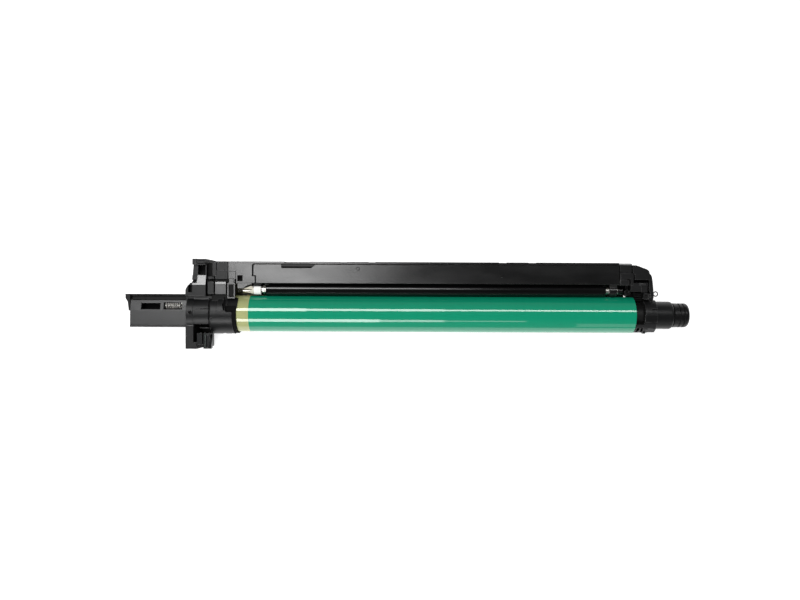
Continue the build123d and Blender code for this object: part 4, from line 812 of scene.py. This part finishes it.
def softEdged(x0, x1, outer, inner, easing):
    # a sleeve's section with its four corners eased
    corners = []
    for x, radius, dx, dr in ((x0, outer, 1, -1), (x1, outer, -1, -1), (x1, inner, -1, 1), (x0, inner, 1, 1)):
        ease = easing if radius == outer else easing * innerEasing
        middle = (x + dx * ease * cornerSag, radius + dr * ease * cornerSag)
        points = [(x, radius + dr * ease), middle, (x + dx * ease, radius)]
        corners += points if (dx > 0) == (dr < 0) else points[::-1]
    return corners


def addSleeves():
    sleeves = {}
    for node, setup in turned.items():
        low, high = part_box(node)
        axis = ((low.y + high.y) / 2, (low.z + high.z) / 2)
        outer = (high.z - low.z) / 2
        section = softEdged(low.x, high.x, outer, outer - setup["wall"], setup["easing"])
        sleeves[node] = newPiece(node + "_turned", spun(section, axis, setup["steps"]), setup["look"])
        place(sleeves[node], node)
    return sleeves


keepStripsOff(addSleeves())
print("turned pieces made")


# Coil springs, wound from their wire's round section

springs = {
    # wire is its radius, and keep the share of its length that a spring has left at its joint's limit
    "shutter_spring": {"wire": 0.42 * mm, "turns": 8, "tilt": None, "joint": "shutter_slide", "keep": 0.475},
    "charge_spring_front": {"wire": 0.3 * mm, "turns": 6, "tilt": 10, "joint": "charge_press", "keep": 0.86},
    "charge_spring_rear": {"wire": 0.3 * mm, "turns": 6, "tilt": 10, "joint": "charge_press", "keep": 0.86},
}
stepsInTurn = 20
wireSides = 8


def woundSpring(length, radius, wire, turns):
    # a round wire wound about +X from the origin, its ends closed
    work = bmesh.new()
    ring = bmesh.ops.create_circle(work, cap_ends=True, radius=wire, segments=wireSides)["verts"]
    bmesh.ops.translate(work, verts=ring, vec=(0, radius, 0))
    steps = stepsInTurn * turns
    bmesh.ops.spin(work, geom=work.faces[:] + work.edges[:] + ring, cent=(0, 0, 0), axis=(1, 0, 0),
                   dvec=((length - 2 * wire) / steps, 0, 0), angle=2 * math.pi * turns, steps=steps)
    bmesh.ops.translate(work, verts=work.verts, vec=(wire, 0, 0))
    return work


def springAlong(low, high, setup):
    # the shutter's spring, which lies along X
    wire = setup["wire"]
    work = woundSpring(high.x - low.x, (high.y - low.y) / 2 - wire, wire, setup["turns"])
    start = (low.x, (low.y + high.y) / 2, (low.z + high.z) / 2)
    bmesh.ops.translate(work, verts=work.verts, vec=start)
    return work, (1, 0, 0)


def springAcross(low, high, setup):
    # a charge spring, which pushes across the unit on the slots' slope
    tilt = math.radians(setup["tilt"])
    outer = (high.x - low.x) / 2
    length = (high.y - low.y - 2 * outer * math.sin(tilt)) / math.cos(tilt)
    work = woundSpring(length, outer - setup["wire"], setup["wire"], setup["turns"])
    bmesh.ops.translate(work, verts=work.verts, vec=(-length / 2, 0, 0))
    for angle, axis in ((math.pi / 2, "Z"), (tilt, "X")):
        bmesh.ops.rotate(work, verts=work.verts, cent=(0, 0, 0), matrix=Matrix.Rotation(angle, 3, axis))
    bmesh.ops.translate(work, verts=work.verts, vec=(low + high) / 2)
    return work, (0, math.cos(tilt), math.sin(tilt))


def addSprings():
    for node, setup in springs.items():
        low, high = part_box(node)
        wind = springAcross if setup["tilt"] else springAlong
        work, axis = wind(low, high, setup)
        piece = newPiece(node + "_wound", work, "spring")
        place(piece, node)
        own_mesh(piece)


addSprings()
print("springs wound")


# Nodes whose shape is right keep it and only get their material

kept = {
    "charge_roller_shaft": "rollerSteel",
    "cleaning_roller_shaft": "steel",
    "earth_wire": "darkSteel",
    "recovery_film": "film",
    "drum_earth_plate": "spring",
    "waste_auger": "gloss",
}
for node, look in kept.items():
    slots = frame["nodes"][node].material_slots
    slots[0].link = "OBJECT"
    slots[0].material = materials[look]
print("plain nodes dressed")
